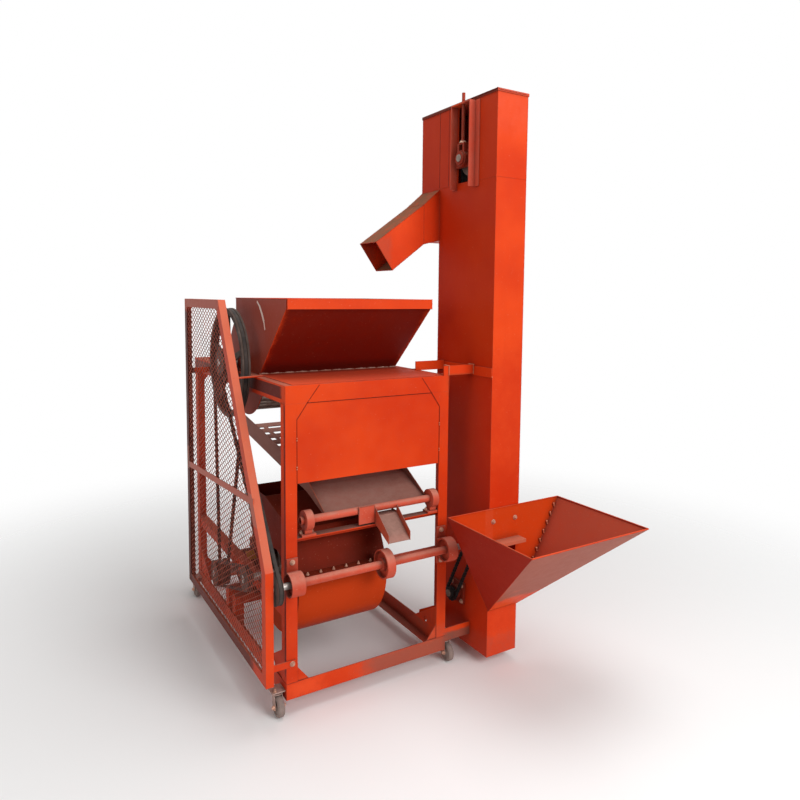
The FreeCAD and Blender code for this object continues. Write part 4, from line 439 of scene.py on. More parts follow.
@dataclass(frozen=True)
class Rubber:
    """Matte rubber with a film of dust."""

    name: str
    tone: Colour
    dust: Colour
    dusty: float = 0.4

    def build(self) -> bpy.types.Material:
        """Make the material.

        Returns:
            The finished material.
        """
        s = Shading(self.name)
        broad = s.noise(22.0, 5.0, 0.65)
        fine = s.noise(160.0, 3.0, 0.6)
        share = s.math("MULTIPLY", s.ramp(broad, 0.3, 0.7), self.dusty)
        s.link(s.mix(share, self.tone, self.dust), s.shader.inputs["Base Color"])
        s.shader.inputs["Roughness"].default_value = 0.82
        s.bump(fine, 0.0007, 0.0008)
        return s.material


DUST = srgb(150, 104, 90)
ORANGE = srgb(231, 72, 21)
DEEP = srgb(210, 54, 13)
# dark maroon for painted shade
SHADE_MAROON = srgb(104, 14, 8)
PINK_DUST = srgb(168, 96, 78)
GREY_DUST = srgb(120, 84, 72)
# colour of the painted shade inside the frame
INTERIOR_SHADE = srgb(70, 40, 32)
# clean bright orange; on the take-up rails it is painted light
CLEAN_AND_LIT = srgb(236, 80, 18)
SPECK = srgb(236, 176, 150)
# colour of the painted shade in crevices
CREVICE_SHADE_COLOUR = srgb(64, 16, 10)
IRON_DUST = srgb(92, 74, 68)
PEANUT_DUST = srgb(120, 84, 62)
BRICK_DUST = srgb(170, 96, 72)

# Tone, shade and dust of the paints that don't take the common ones.
SIEVE_TONES = (srgb(166, 104, 90), srgb(140, 88, 76), srgb(170, 130, 118))
LID_TONES = (srgb(214, 78, 50), srgb(186, 58, 34), srgb(132, 92, 76))
GUARD_TONES = (ORANGE, srgb(214, 58, 18), srgb(206, 118, 94))
# The fan's tones are painted shade: the sieve above shades the scroll, and a patch brings back its orange
# lower down.
FAN_SHADOW_TONES = (srgb(132, 34, 12), srgb(98, 24, 10), srgb(100, 50, 36))
BEARING_TONES = (srgb(222, 92, 68), srgb(196, 72, 48), srgb(196, 128, 110))
IRON_TONES = (srgb(170, 52, 28), srgb(126, 40, 26), srgb(140, 94, 78))
MOTOR_TONES = (srgb(112, 44, 32), srgb(86, 38, 30), srgb(100, 72, 62))
SEAM_TONES = (srgb(112, 22, 8), srgb(80, 16, 8), srgb(90, 50, 40))
WELD_DUST_TONES = (srgb(232, 200, 186), srgb(206, 150, 128), srgb(220, 190, 176))
TACK_TONES = (srgb(222, 132, 98), srgb(196, 92, 60), srgb(210, 150, 124))
TRAY_EDGE_TONES = (srgb(214, 104, 70), srgb(168, 76, 52), srgb(180, 120, 100))
YELLOW_TONES = (srgb(214, 164, 44), srgb(194, 140, 34), srgb(160, 120, 60))

# A patch gives its tone, its strength, the low and high corners of a block in millimetres as in at(),
# the way that its faces look, and how soft its border is as a share of the block.
FINISHES = {
    "frame_paint": Paint("frame_enamel", ORANGE, DEEP, DUST, 0.50, 0.04, 0.35, patches=(
        Patch(GREY_DUST, 0.60, (330, -30, 40), (760, 60, 124), soft=0.35),
        Patch(GREY_DUST, 0.55, (-20, 100, 40), (760, 1300, 124), soft=0.2),
        Patch(PINK_DUST, 0.35, (300, -30, 60), (760, 60, 180), soft=0.5),
        Patch(srgb(246, 88, 42), 0.65, (-6, -6, 55), (150, 6, 130), (0.0, -1.0, 0.0), 0.9),
        # painted shade on the parts inside the frame, between the posts
        Patch(INTERIOR_SHADE, 0.55, (20, 60, 150), (700, 1180, 700), soft=0.2),
        Patch(IRON_DUST, 0.85, (0, 2, 668), (720, 60, 684), (0.0, 0.0, 1.0), 0.1),
        # painted shade on the left side of the front left post
        Patch(SHADE_MAROON, 0.85, (-6, -3, 150), (6, 15, 1180), (-1.0, 0.0, 0.0), 0.04),
        # painted shade on the outer left face of the left top beam
        Patch(srgb(72, 16, 10), 0.92, (-6, 34, 1192), (6, 1230, 1237), (-1.0, 0.0, 0.0), 0.03),
        Patch(srgb(196, 120, 96), 0.60, (-6, 0, 1236), (50, 1240, 1250), (0.0, 0.0, 1.0), 0.10),
        Patch(GREY_DUST, 0.80, (716, -30, 40), (1100, 60, 134), soft=0.2),
        Patch(srgb(150, 72, 44), 0.60, (716, -40, 1160), (1100, 60, 1250), (0.0, -1.0, 0.0), 0.2),
        Patch(srgb(128, 88, 72), 0.80, (716, -60, 1160), (1100, 60, 1262), (0.0, 0.0, 1.0), 0.2),
    )),
    "hopper_paint": Paint("hopper_enamel", ORANGE, DEEP, PINK_DUST, 0.34, 0.05, 0.30, patches=(
        # painted shade on the feed hopper's front sheet, which faces down and forward
        Patch(SHADE_MAROON, 0.94, (30, 60, 1240), (690, 400, 1530), (0.0, -0.69, -0.72), 0.1),
        # painted shade on the hopper's left wall, which faces left and down
        Patch(srgb(148, 36, 16), 0.8, (30, 60, 1240), (60, 800, 1560), (-1.0, 0.0, 0.0), 0.1),
        Patch(srgb(156, 26, 6), 0.95, facing=(-0.90, 0.0, -0.44)),
        Patch(srgb(152, 86, 66), 0.85, (600, -620, 330), (1250, -150, 700), (0.0, -0.67, -0.74), 0.10),
        Patch(CLEAN_AND_LIT, 0.9, (850, -250, 240), (960, -100, 350), (0.0, -0.67, -0.74), 0.4),
        Patch(srgb(206, 72, 20), 0.75, (640, -140, 250), (1240, -110, 700), (0.0, -1.0, 0.0), 0.05),
        Patch(srgb(160, 76, 56), 0.80, facing=(-0.885, 0.0, 0.465)),
        Patch(srgb(196, 124, 96), 0.80, (845, -196, 496), (1015, -124, 566), soft=0.1),
        Patch(srgb(214, 90, 54), 0.6, (830, -300, 400), (870, -116, 700), soft=0.3),
    )),
    "spout_paint": Paint("spout_enamel", ORANGE, DEEP, PEANUT_DUST, 0.92, 0.05, 0.35, patches=(
        Patch(GREY_DUST, 0.35, (500, 250, 1660), (600, 440, 1830), soft=0.5),
        # painted shade on the up-facing faces between the spout's side plates
        Patch(srgb(60, 16, 8), 0.85, (560, 277, 1700), (1000, 417, 2000), (0.0, 0.0, 1.0), 0.1),
    )),
    "sieve_paint": Paint("sieve_enamel", *SIEVE_TONES, 0.5, 0.30, 0.50, patches=(
        Patch(CLEAN_AND_LIT, 0.85, (300, -60, 670), (380, 8, 760), (0.0, -1.0, 0.0), 0.03),
        Patch(srgb(214, 84, 46), 0.85, (374, -110, 600), (480, 20, 770), (1.0, 0.0, 0.0), 0.05),
        Patch(srgb(206, 76, 40), 0.85, (374, -110, 600), (480, 20, 770), (-1.0, 0.0, 0.0), 0.05),
        Patch(srgb(214, 92, 60), 0.75, (374, -110, 600), (480, -90, 770), (0.0, -1.0, 0.0), 0.05),
        Patch(srgb(112, 88, 78), 0.85, (383, -80, 630), (470, 10, 730), (0.0, -0.6, 0.8), 0.3),
    )),
    "tower_paint": Paint("tower_enamel", ORANGE, DEEP, BRICK_DUST, 0.5, 0.03, 0.25, streaks=0.45, patches=(
        Patch(srgb(208, 50, 14), 0.7, (830, -140, 30), (1030, 300, 1300), soft=0.4),
        Patch(PINK_DUST, 0.4, (830, -140, 30), (1030, 300, 130), soft=0.8),
        Patch(srgb(224, 92, 66), 0.45, (800, -150, 2240), (1060, -110, 2480), (0.0, -1.0, 0.0), 1.2),
        # painted shade on every tower face that looks left
        Patch(srgb(176, 40, 12), 0.5, facing=(-1.0, 0.0, 0.0)),
    )),
    "lid_paint": Paint("lid_enamel", *LID_TONES, 0.7, 0.25, 0.6, patches=(
        # painted shade on the lid's left faces, under its overhanging flange
        Patch(srgb(84, 20, 12), 0.85, facing=(-1.0, 0.0, 0.0)),
    )),
    "guard_paint": Paint("guard_enamel", *GUARD_TONES, 0.8, 0.08, 0.45, patches=(
        Patch(srgb(208, 104, 74), 0.75, (-130, -90, 610), (-70, 460, 1560), (0.0, -0.87, 0.49), 0.06),
        # painted shade on the guard's faces that look left
        Patch(srgb(186, 62, 34), 0.55, facing=(-1.0, 0.0, 0.0)),
        Patch(srgb(84, 34, 28), 0.95, (-125, 40, 170), (-70, 1000, 240), soft=0.10),
        # painted shade on the guard's rear upright strip
        Patch(srgb(66, 14, 8), 0.97, (-125, 935, 170), (-70, 1000, 1510), soft=0.05),
        Patch(srgb(178, 112, 96), 0.65, (-125, -90, 740), (-70, 990, 850), (-1.0, 0.0, 0.0), 0.05),
        Patch(srgb(168, 96, 80), 0.70, (-125, 440, 1500), (-70, 990, 1560), (-1.0, 0.0, 0.0), 0.05),
    )),
    "guard_steel": Metal("guard_mesh_steel", srgb(184, 82, 56), srgb(104, 46, 34), 0.7, 0.10, 0.65, 0.2),
    "fan_paint": Paint("fan_enamel", *FAN_SHADOW_TONES, 0.30, 0.04, 0.5, sheen=0.04, patches=(
        # the fan's own orange below its lip; the painted shadow of the sieve stays above it
        Patch(srgb(206, 66, 18), 0.85, (50, 10, 150), (460, 300, 508), soft=0.03),
        # darker towards the bottom: painted shade where the scroll curls under
        Patch(srgb(150, 44, 18), 0.6, (50, 10, 150), (460, 300, 290), soft=0.6),
    )),
    "bearing_paint": Paint("bearing_enamel", *BEARING_TONES, 0.7, 0.22, 0.6, specks=0.45, patches=(
        # painted light: the take-up rails' face on the shadow side is brightened to clean orange
        Patch(CLEAN_AND_LIT, 0.85, (800, 80, 2050), (860, 140, 2400), soft=0.05),
        # painted shadow of the front rail on the rear rail
        Patch(srgb(170, 48, 20), 0.7, (800, 20, 2050), (860, 60, 2400), soft=0.05),
        # painted shade: the down-facing faces in this low block are darkened
        Patch(srgb(120, 50, 34), 0.7, (-20, 15, 660), (740, 60, 780), (0.0, 0.0, -1.0), 0.1),
    )),
    "bearing_iron": Paint("bearing_casting", *IRON_TONES, 0.7, 0.25, 0.6, specks=0.4),
    "drum_steel": Metal("drum_steel", srgb(150, 138, 128), srgb(104, 74, 60), 0.7, 0.7, 0.45, 0.4),
    "shaft_steel": Metal("turned_steel", srgb(190, 184, 178), srgb(110, 86, 74), 0.4, 0.9, 0.28, 0.2),
    "pulley_iron": Metal("pulley_casting", srgb(86, 72, 64), srgb(64, 46, 38), 0.6, 0.30, 0.55, 0.4),
    "chain_steel": Metal("oiled_chain", srgb(44, 38, 36), srgb(20, 16, 16), 0.7, 0.5, 0.40, 0.1),
    "motor_paint": Paint("motor_enamel", *MOTOR_TONES, 0.8, 0.4, 0.5),
    "belt_rubber": Rubber("belt_rubber", srgb(34, 30, 28), srgb(84, 70, 62), 0.5),
    "caster_steel": Metal("caster_plating", srgb(190, 164, 154), srgb(134, 92, 80), 0.6, 0.5, 0.45, 0.3),
    "caster_rubber": Rubber("caster_tread", srgb(128, 112, 106), srgb(160, 140, 130), 0.6),
    "seam_dirt": Paint("seam_dirt", *SEAM_TONES, 0.3, 0.2, 0.0),
    "weld_dust": Paint("weld_dust", *WELD_DUST_TONES, 0.5, 0.3, 0.2),
    "weld_tack": Paint("weld_tack", *TACK_TONES, 0.5, 0.3, 0.2),
    "tray_edge": Paint("tray_edge", *TRAY_EDGE_TONES, 0.5, 0.3, 0.5),
    # pale streak on the hopper's left wall: a painted highlight
    "pale_glint": Metal("pale_glint", srgb(240, 222, 212), srgb(214, 176, 160), 0.3, 0.1, 0.6, 0.0),
    "plate_yellow": Paint("yellow_plate", *YELLOW_TONES, 0.3, 0.2, 0.3),
    "bolt_steel": Metal("bolt_plating", srgb(222, 180, 156), srgb(150, 84, 62), 0.5, 0.5, 0.35, 0.2),
}


class Paintshop:
    """Keeps one material for each slot and puts it on the CAD nodes and on new pieces."""

    def __init__(self) -> None:
        """Build every finish once."""
        self.materials: dict[str, bpy.types.Material] = {slot: f.build() for slot, f in FINISHES.items()}

    def dress_nodes(self) -> None:
        """Give every CAD node its slot's material."""
        for entry in frame["record"]["subparts"]:
            node = frame["nodes"][entry["node"]]
            material = self.materials[entry["material_slot"]]
            node.data.materials.clear()
            node.data.materials.append(material)

    def finish_piece(self, piece: bpy.types.Object, slot: str, body: Body) -> bpy.types.Object:
        """Give a new piece the material of its slot if it has none, and its body.

        Args:
            piece: the finished mesh object.
            slot: material slot of the record.
            body: body that it moves with.

        Returns:
            The same piece.
        """
        if not piece.data.materials:
            piece.data.materials.append(self.materials[slot])
        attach(piece, body.value)
        log.info("%s rides on %s", piece.name, body.value)
        return piece


class NodeWorkshop:
    """Builds Geometry Nodes trees and turns their results into plain meshes."""

    def __init__(self, name: str, inputs: dict[str, float]) -> None:
        """Start a tree with named inputs.

        Args:
            name: name of the tree.
            inputs: default of each input by name; a whole number makes a whole-number input.
        """
        self.tree = bpy.data.node_groups.new(name, "GeometryNodeTree")
        face = self.tree.interface
        face.new_socket(name="Geometry", in_out="INPUT", socket_type="NodeSocketGeometry")
        for label, default in inputs.items():
            kind = "NodeSocketInt" if isinstance(default, int) else "NodeSocketFloat"
            face.new_socket(name=label, in_out="INPUT", socket_type=kind).default_value = default
        face.new_socket(name="Material", in_out="INPUT", socket_type="NodeSocketMaterial")
        face.new_socket(name="Geometry", in_out="OUTPUT", socket_type="NodeSocketGeometry")
        self.inputs = self.tree.nodes.new("NodeGroupInput")
        self.outputs = self.tree.nodes.new("NodeGroupOutput")

    def add(self, kind: str, settings: dict[str, str] | None = None, **links: object) -> bpy.types.Node:
        """Add a node; each keyword is an input's name with a value or a socket.

        Args:
            kind: node type.
            settings: properties of the node, such as its mode.
            links: inputs by name, with underscores for spaces.

        Returns:
            The new node.
        """
        node = self.tree.nodes.new(kind)
        for label, value in (settings or {}).items():
            setattr(node, label, value)
        for label, value in links.items():
            self.set(node, label.replace("_", " "), value)
        return node

    def result(self, kind: str, settings: dict[str, str] | None = None,
               **links: object) -> bpy.types.NodeSocket:
        """First output in use of a new node, which is given as in add()."""
        return next(s for s in self.add(kind, settings, **links).outputs if s.enabled)

    def set(self, node: bpy.types.Node, label: str, value: object) -> None:
        """Set or link one input of a node, by its name.

        Args:
            node: node to change.
            label: name of the enabled input.
            value: number, vector or output socket.
        """
        self.feed(next(s for s in node.inputs if s.name == label and s.enabled), value)

    def feed(self, socket: bpy.types.NodeSocket, value: object) -> None:
        """Link a socket to another one, or set it to a constant.

        Args:
            socket: input socket.
            value: number, vector or output socket.
        """
        if isinstance(value, bpy.types.NodeSocket):
            self.tree.links.new(value, socket)
        else:
            socket.default_value = value

    def reckon(self, kind: str, operation: str, *values: object) -> bpy.types.NodeSocket:
        """Node that works out something from inputs in their order.

        Args:
            kind: node type.
            operation: name of the operation.
            values: numbers, vectors or sockets.

        Returns:
            The result socket.
        """
        node = self.tree.nodes.new(kind)
        node.operation = operation
        for socket, value in zip(node.inputs, values):
            self.feed(socket, value)
        return node.outputs[0]

    def calc(self, operation: str, first: object, second: object = 0.0) -> bpy.types.NodeSocket:
        """Math on one or two numbers."""
        return self.reckon("ShaderNodeMath", operation, first, second)

    def vector(self, operation: str, first: object, second: object) -> bpy.types.NodeSocket:
        """Math on two vectors."""
        return self.reckon("ShaderNodeVectorMath", operation, first, second)

    def split(self, vector: bpy.types.NodeSocket) -> bpy.types.bpy_prop_collection:
        """Outputs X, Y and Z of a vector."""
        return self.add("ShaderNodeSeparateXYZ", Vector=vector).outputs

    def moved(self, geometry: bpy.types.NodeSocket, **links: object) -> bpy.types.NodeSocket:
        """Geometry after a Transform with the inputs given by name."""
        return self.result("GeometryNodeTransform", Geometry=geometry, **links)

    def join(self, *parts: bpy.types.NodeSocket) -> bpy.types.NodeSocket:
        """Several geometries as one.

        Args:
            parts: geometry sockets, in order.

        Returns:
            The joined geometry.
        """
        node = self.tree.nodes.new("GeometryNodeJoinGeometry")
        for part in parts:
            self.tree.links.new(part, node.inputs[0])
        return node.outputs[0]

    def random(self, kind: str, low: object, high: object) -> bpy.types.NodeSocket:
        """Random value for each point, drawn with the tree's seed."""
        return self.result("FunctionNodeRandomValue", {"data_type": kind}, Min=low, Max=high,
                           Seed=self.given("Seed"))

    def given(self, label: str) -> bpy.types.NodeSocket:
        """Output of the group's input with that name."""
        return self.inputs.outputs[label]

    def close(self, geometry: bpy.types.NodeSocket, smooth: bool = False) -> None:
        """End the tree in realized instances with the material set.

        Args:
            geometry: result before it is realized.
            smooth: whether faces are shaded smooth.
        """
        last = self.result("GeometryNodeRealizeInstances", Geometry=geometry)
        if smooth:
            last = self.result("GeometryNodeSetShadeSmooth", Geometry=last)
        last = self.result("GeometryNodeSetMaterial", Geometry=last, Material=self.given("Material"))
        self.tree.links.new(last, self.outputs.inputs[0])

    def run(self, name: str, base: bpy.types.Mesh, material: bpy.types.Material,
            **values: float) -> bpy.types.Object:
        """Evaluate the tree on a base mesh and keep the result as a plain piece.

        Args:
            name: name of the piece.
            base: mesh that the tree starts from.
            material: material of the result.
            values: inputs by name, with underscores for spaces.

        Returns:
            The plain mesh object.
        """
        helper = bpy.data.objects.new(name + "_base", base)
        bpy.context.scene.collection.objects.link(helper)
        modifier = helper.modifiers.new("nodes", "NODES")
        modifier.node_group = self.tree
        wanted = {label.replace("_", " "): value for label, value in values.items()}
        wanted["Material"] = material
        for item in self.tree.interface.items_tree:
            if item.item_type == "SOCKET" and item.in_out == "INPUT" and item.name in wanted:
                modifier[item.identifier] = wanted[item.name]
        bpy.context.view_layer.update()
        ready = helper.evaluated_get(bpy.context.evaluated_depsgraph_get())
        mesh = bpy.data.meshes.new_from_object(ready)
        helper.modifiers.clear()
        bpy.data.objects.remove(helper)
        return placed_mesh(name, mesh)


def placed_mesh(name: str, mesh: bpy.types.Mesh) -> bpy.types.Object:
    """Object of a mesh, at the origin of the scene.

    Args:
        name: name of the object and its mesh.
        mesh: the finished mesh.

    Returns:
        The new object.
    """
    mesh.name = name
    piece = bpy.data.objects.new(name, mesh)
    bpy.context.scene.collection.objects.link(piece)
    return piece


def aimed_points(name: str, places: list[tuple[Vector, Point]]) -> bpy.types.Mesh:
    """Loose vertices that carry a direction each.

    Args:
        name: name of the mesh.
        places: place and direction of each point.

    Returns:
        The mesh with an "aim" attribute.
    """
    mesh = bpy.data.meshes.new(name)
    mesh.from_pydata([tuple(p) for p, _ in places], [], [])
    aim = mesh.attributes.new("aim", "FLOAT_VECTOR", "POINT")
    for k, (_, direction) in enumerate(places):
        aim.data[k].vector = direction
    return mesh


def seam(*points: Point) -> list[Vector]:
    """Line of a seam through points in frame millimetres."""
    return [at(*p) for p in points]


def polyline_mesh(name: str, lines: list[list[Vector]]) -> bpy.types.Mesh:
    """Edge mesh with one open line for each list of points.

    Args:
        name: name of the mesh.
        lines: points of each line.

    Returns:
        The mesh.
    """
    points: list[Point] = []
    edges: list[tuple[int, int]] = []
    for line in lines:
        start = len(points)
        points += [tuple(p) for p in line]
        edges += [(start + k, start + k + 1) for k in range(len(line) - 1)]
    mesh = bpy.data.meshes.new(name)
    mesh.from_pydata(points, edges, [])
    return mesh


def plain_piece(name: str, build: bmesh.types.BMesh) -> bpy.types.Object:
    """Turn a working mesh into an object, with its faces pointing outwards.

    Args:
        name: name of the piece.
        build: working mesh, which is freed.

    Returns:
        The new object.
    """
    bmesh.ops.recalc_face_normals(build, faces=build.faces)
    mesh = bpy.data.meshes.new(name)
    build.to_mesh(mesh)
    build.free()
    return placed_mesh(name, mesh)


@dataclass(frozen=True)
class Band:
    """Thin band along a line, just proud of the surface that it lies on, in frame millimetres."""

    start: Point
    end: Point
    outward: Point
    width: float
    proud: float = 0.35

    def add_to(self, build: bmesh.types.BMesh) -> None:
        """Add the band to a working mesh.

        Args:
            build: working mesh.
        """
        a, b = at(*self.start), at(*self.end)
        up = Vector(self.outward).normalized()
        side = (b - a).normalized().cross(up) * (self.width * 0.0005)
        low = [a - side, b - side, b + side, a + side]
        high = [p + up * (self.proud * 0.001) for p in low]
        verts = [build.verts.new(p) for p in low + high]
        for ring in ((0, 1, 2, 3), (4, 5, 6, 7), (0, 1, 5, 4), (1, 2, 6, 5), (2, 3, 7, 6), (3, 0, 4, 7)):
            build.faces.new([verts[k] for k in ring])


@dataclass(frozen=True)
class Rod:
    """Round bar between two points, in frame millimetres."""

    start: Point
    end: Point
    radius: float
    sides: int = 14

    def add_to(self, build: bmesh.types.BMesh) -> None:
        """Add the bar to a working mesh.

        Args:
            build: working mesh.
        """
        a, b = at(*self.start), at(*self.end)
        along = b - a
        turn = along.to_track_quat("Z", "Y").to_matrix().to_4x4()
        bmesh.ops.create_cone(build, cap_ends=True, segments=self.sides, radius1=self.radius * 0.001,
                              radius2=self.radius * 0.001, depth=along.length,
                              matrix=Matrix.Translation((a + b) / 2) @ turn)


@dataclass
class Fasteners:
    """Hexagon bolts with washers and a stub of thread, set by aimed points; heights in metres."""

    shop: Paintshop
    washer: tuple[float, float] = (0.0016, 0.0008)
    head_middle: float = 0.0042
    stub: tuple[float, float] = (0.0040, 0.0086)

    def __post_init__(self) -> None:
        """Build the tree once."""
        w = NodeWorkshop("hexagon_bolts", {"Head Radius": 0.0075, "Head Height": 0.0055,
                                           "Washer Radius": 0.010, "Stub Radius": 0.0038, "Seed": 3})
        rounds = []
        for sides, radius, depth, middle in ((18, "Washer Radius", *self.washer),
                                             (6, "Head Radius", w.given("Head Height"), self.head_middle),
                                             (10, "Stub Radius", *self.stub)):
            barrel = w.result("GeometryNodeMeshCylinder", Vertices=sides, Radius=w.given(radius),
                              Depth=depth)
            rounds.append(w.moved(barrel, Translation=(0.0, 0.0, middle)))
        aim = w.result("GeometryNodeInputNamedAttribute", {"data_type": "FLOAT_VECTOR"}, Name="aim")
        align = w.result("FunctionNodeAlignRotationToVector", {"axis": "Z"}, Vector=aim)
        turn = w.result("FunctionNodeAxisAngleToRotation", Axis=(0.0, 0.0, 1.0),
                        Angle=w.random("FLOAT", 0.0, 1.0))
        both = w.result("FunctionNodeRotateRotation", {"rotation_space": "LOCAL"}, Rotation=align,
                        Rotate_By=turn)
        w.close(w.result("GeometryNodeInstanceOnPoints", Points=w.given("Geometry"),
                         Instance=w.join(*rounds), Rotation=both))
        self.workshop = w

    def set_in(self, name: str, places: list[tuple[Vector, Point]], head: float, seed: int = 3,
               body: Body = Body.MACHINE) -> None:
        """Make one group of bolts whose washers and stubs follow their heads.

        Args:
            name: name of the piece.
            places: seat and direction of each bolt.
            head: radius across the corners of the head in metres.
            seed: seed of the random turn.
            body: body that the bolts move with.
        """
        piece = self.workshop.run(name, aimed_points(name, places), self.shop.materials["bolt_steel"],
                                  Head_Radius=head, Head_Height=head * 0.72, Washer_Radius=head * 1.3,
                                  Stub_Radius=head * 0.5, Seed=seed)
        self.shop.finish_piece(piece, "bolt_steel", body)


@dataclass
class Welds:
    """Rows of overlapping beads along seams."""

    shop: Paintshop
    smallest: Point = (0.75, 0.75, 0.75)
    largest: Point = (1.25, 1.25, 1.15)
    turns: Point = (3.1, 3.1, 3.1)

    def __post_init__(self) -> None:
        """Build the tree once."""
        w = NodeWorkshop("weld_beads", {"Bead Radius": 0.0028, "Spacing": 0.0034, "Seed": 5})
        curve = w.result("GeometryNodeMeshToCurve", Mesh=w.given("Geometry"))
        even = w.result("GeometryNodeResampleCurve", {"mode": "LENGTH"}, Curve=curve,
                        Length=w.given("Spacing"))
        bead = w.result("GeometryNodeMeshIcoSphere", Radius=w.given("Bead Radius"), Subdivisions=1)
        size = w.random("FLOAT_VECTOR", self.smallest, self.largest)
        angles = w.random("FLOAT_VECTOR", (0.0, 0.0, 0.0), self.turns)
        turn = w.result("FunctionNodeEulerToRotation", Euler=angles)
        beads = w.result("GeometryNodeInstanceOnPoints", Points=even, Instance=bead, Rotation=turn,
                         Scale=size)
        w.close(beads, smooth=True)
        self.workshop = w

    def run_along(self, name: str, lines: list[list[Vector]], slot: str, radius: float, spacing: float,
                  seed: int = 5, body: Body = Body.MACHINE) -> None:
        """Lay beads along lines.

        Args:
            name: name of the piece.
            lines: points of each seam.
            slot: material slot.
            radius: bead radius in metres.
            spacing: distance between beads in metres.
            seed: seed of the random sizes.
            body: body that the beads move with.
        """
        piece = self.workshop.run(name, polyline_mesh(name, lines), self.shop.materials[slot],
                                  Bead_Radius=radius, Spacing=spacing, Seed=seed)
        self.shop.finish_piece(piece, slot, body)


@dataclass
class Rings:
    """Rows of thin tapered rings along a line, for threads; sizes in metres."""

    shop: Paintshop
    crest: float = 0.0072
    root: float = 0.0062
    depth: float = 0.0016
    sides: int = 14

    def __post_init__(self) -> None:
        """Build the tree once."""
        w = NodeWorkshop("thread_rings", {"Ring Radius": self.crest, "Spacing": 0.0028})
        curve = w.result("GeometryNodeMeshToCurve", Mesh=w.given("Geometry"))
        points = w.add("GeometryNodeCurveToPoints", {"mode": "LENGTH"}, Curve=curve,
                       Length=w.given("Spacing"))
        ring = w.result("GeometryNodeMeshCone", Vertices=self.sides, Side_Segments=1, Radius_Top=self.root,
                        Radius_Bottom=w.given("Ring Radius"), Depth=self.depth)
        w.close(w.result("GeometryNodeInstanceOnPoints", Points=points.outputs[0], Instance=ring,
                         Rotation=points.outputs["Rotation"]))
        self.workshop = w

    def cut(self, name: str, lines: list[list[Vector]], body: Body) -> None:
        """Put rings along lines.

        Args:
            name: name of the piece.
            lines: points of each rod.
            body: body that the rings move with.
        """
        piece = self.workshop.run(name, polyline_mesh(name, lines), self.shop.materials["bolt_steel"])
        self.shop.finish_piece(piece, "bolt_steel", body)


class Tools:
    """What every sub-assembly is dressed with."""

    def __init__(self, shop: Paintshop) -> None:
        """Set up the tools.

        Args:
            shop: the paintshop that finishes what they make.
        """
        self.shop = shop
        self.bolts = Fasteners(shop)
        self.welds = Welds(shop)
        self.rings = Rings(shop)

    def shape(self, name: str, forms: list[Band] | list[Rod], slot: str, body: Body = Body.MACHINE) -> None:
        """Make one piece of bands or bars.

        Args:
            name: name of the piece.
            forms: its bands or bars.
            slot: material slot.
            body: body that it moves with.
        """
        build = bmesh.new()
        for form in forms:
            form.add_to(build)
        self.shop.finish_piece(plain_piece(name, build), slot, body)


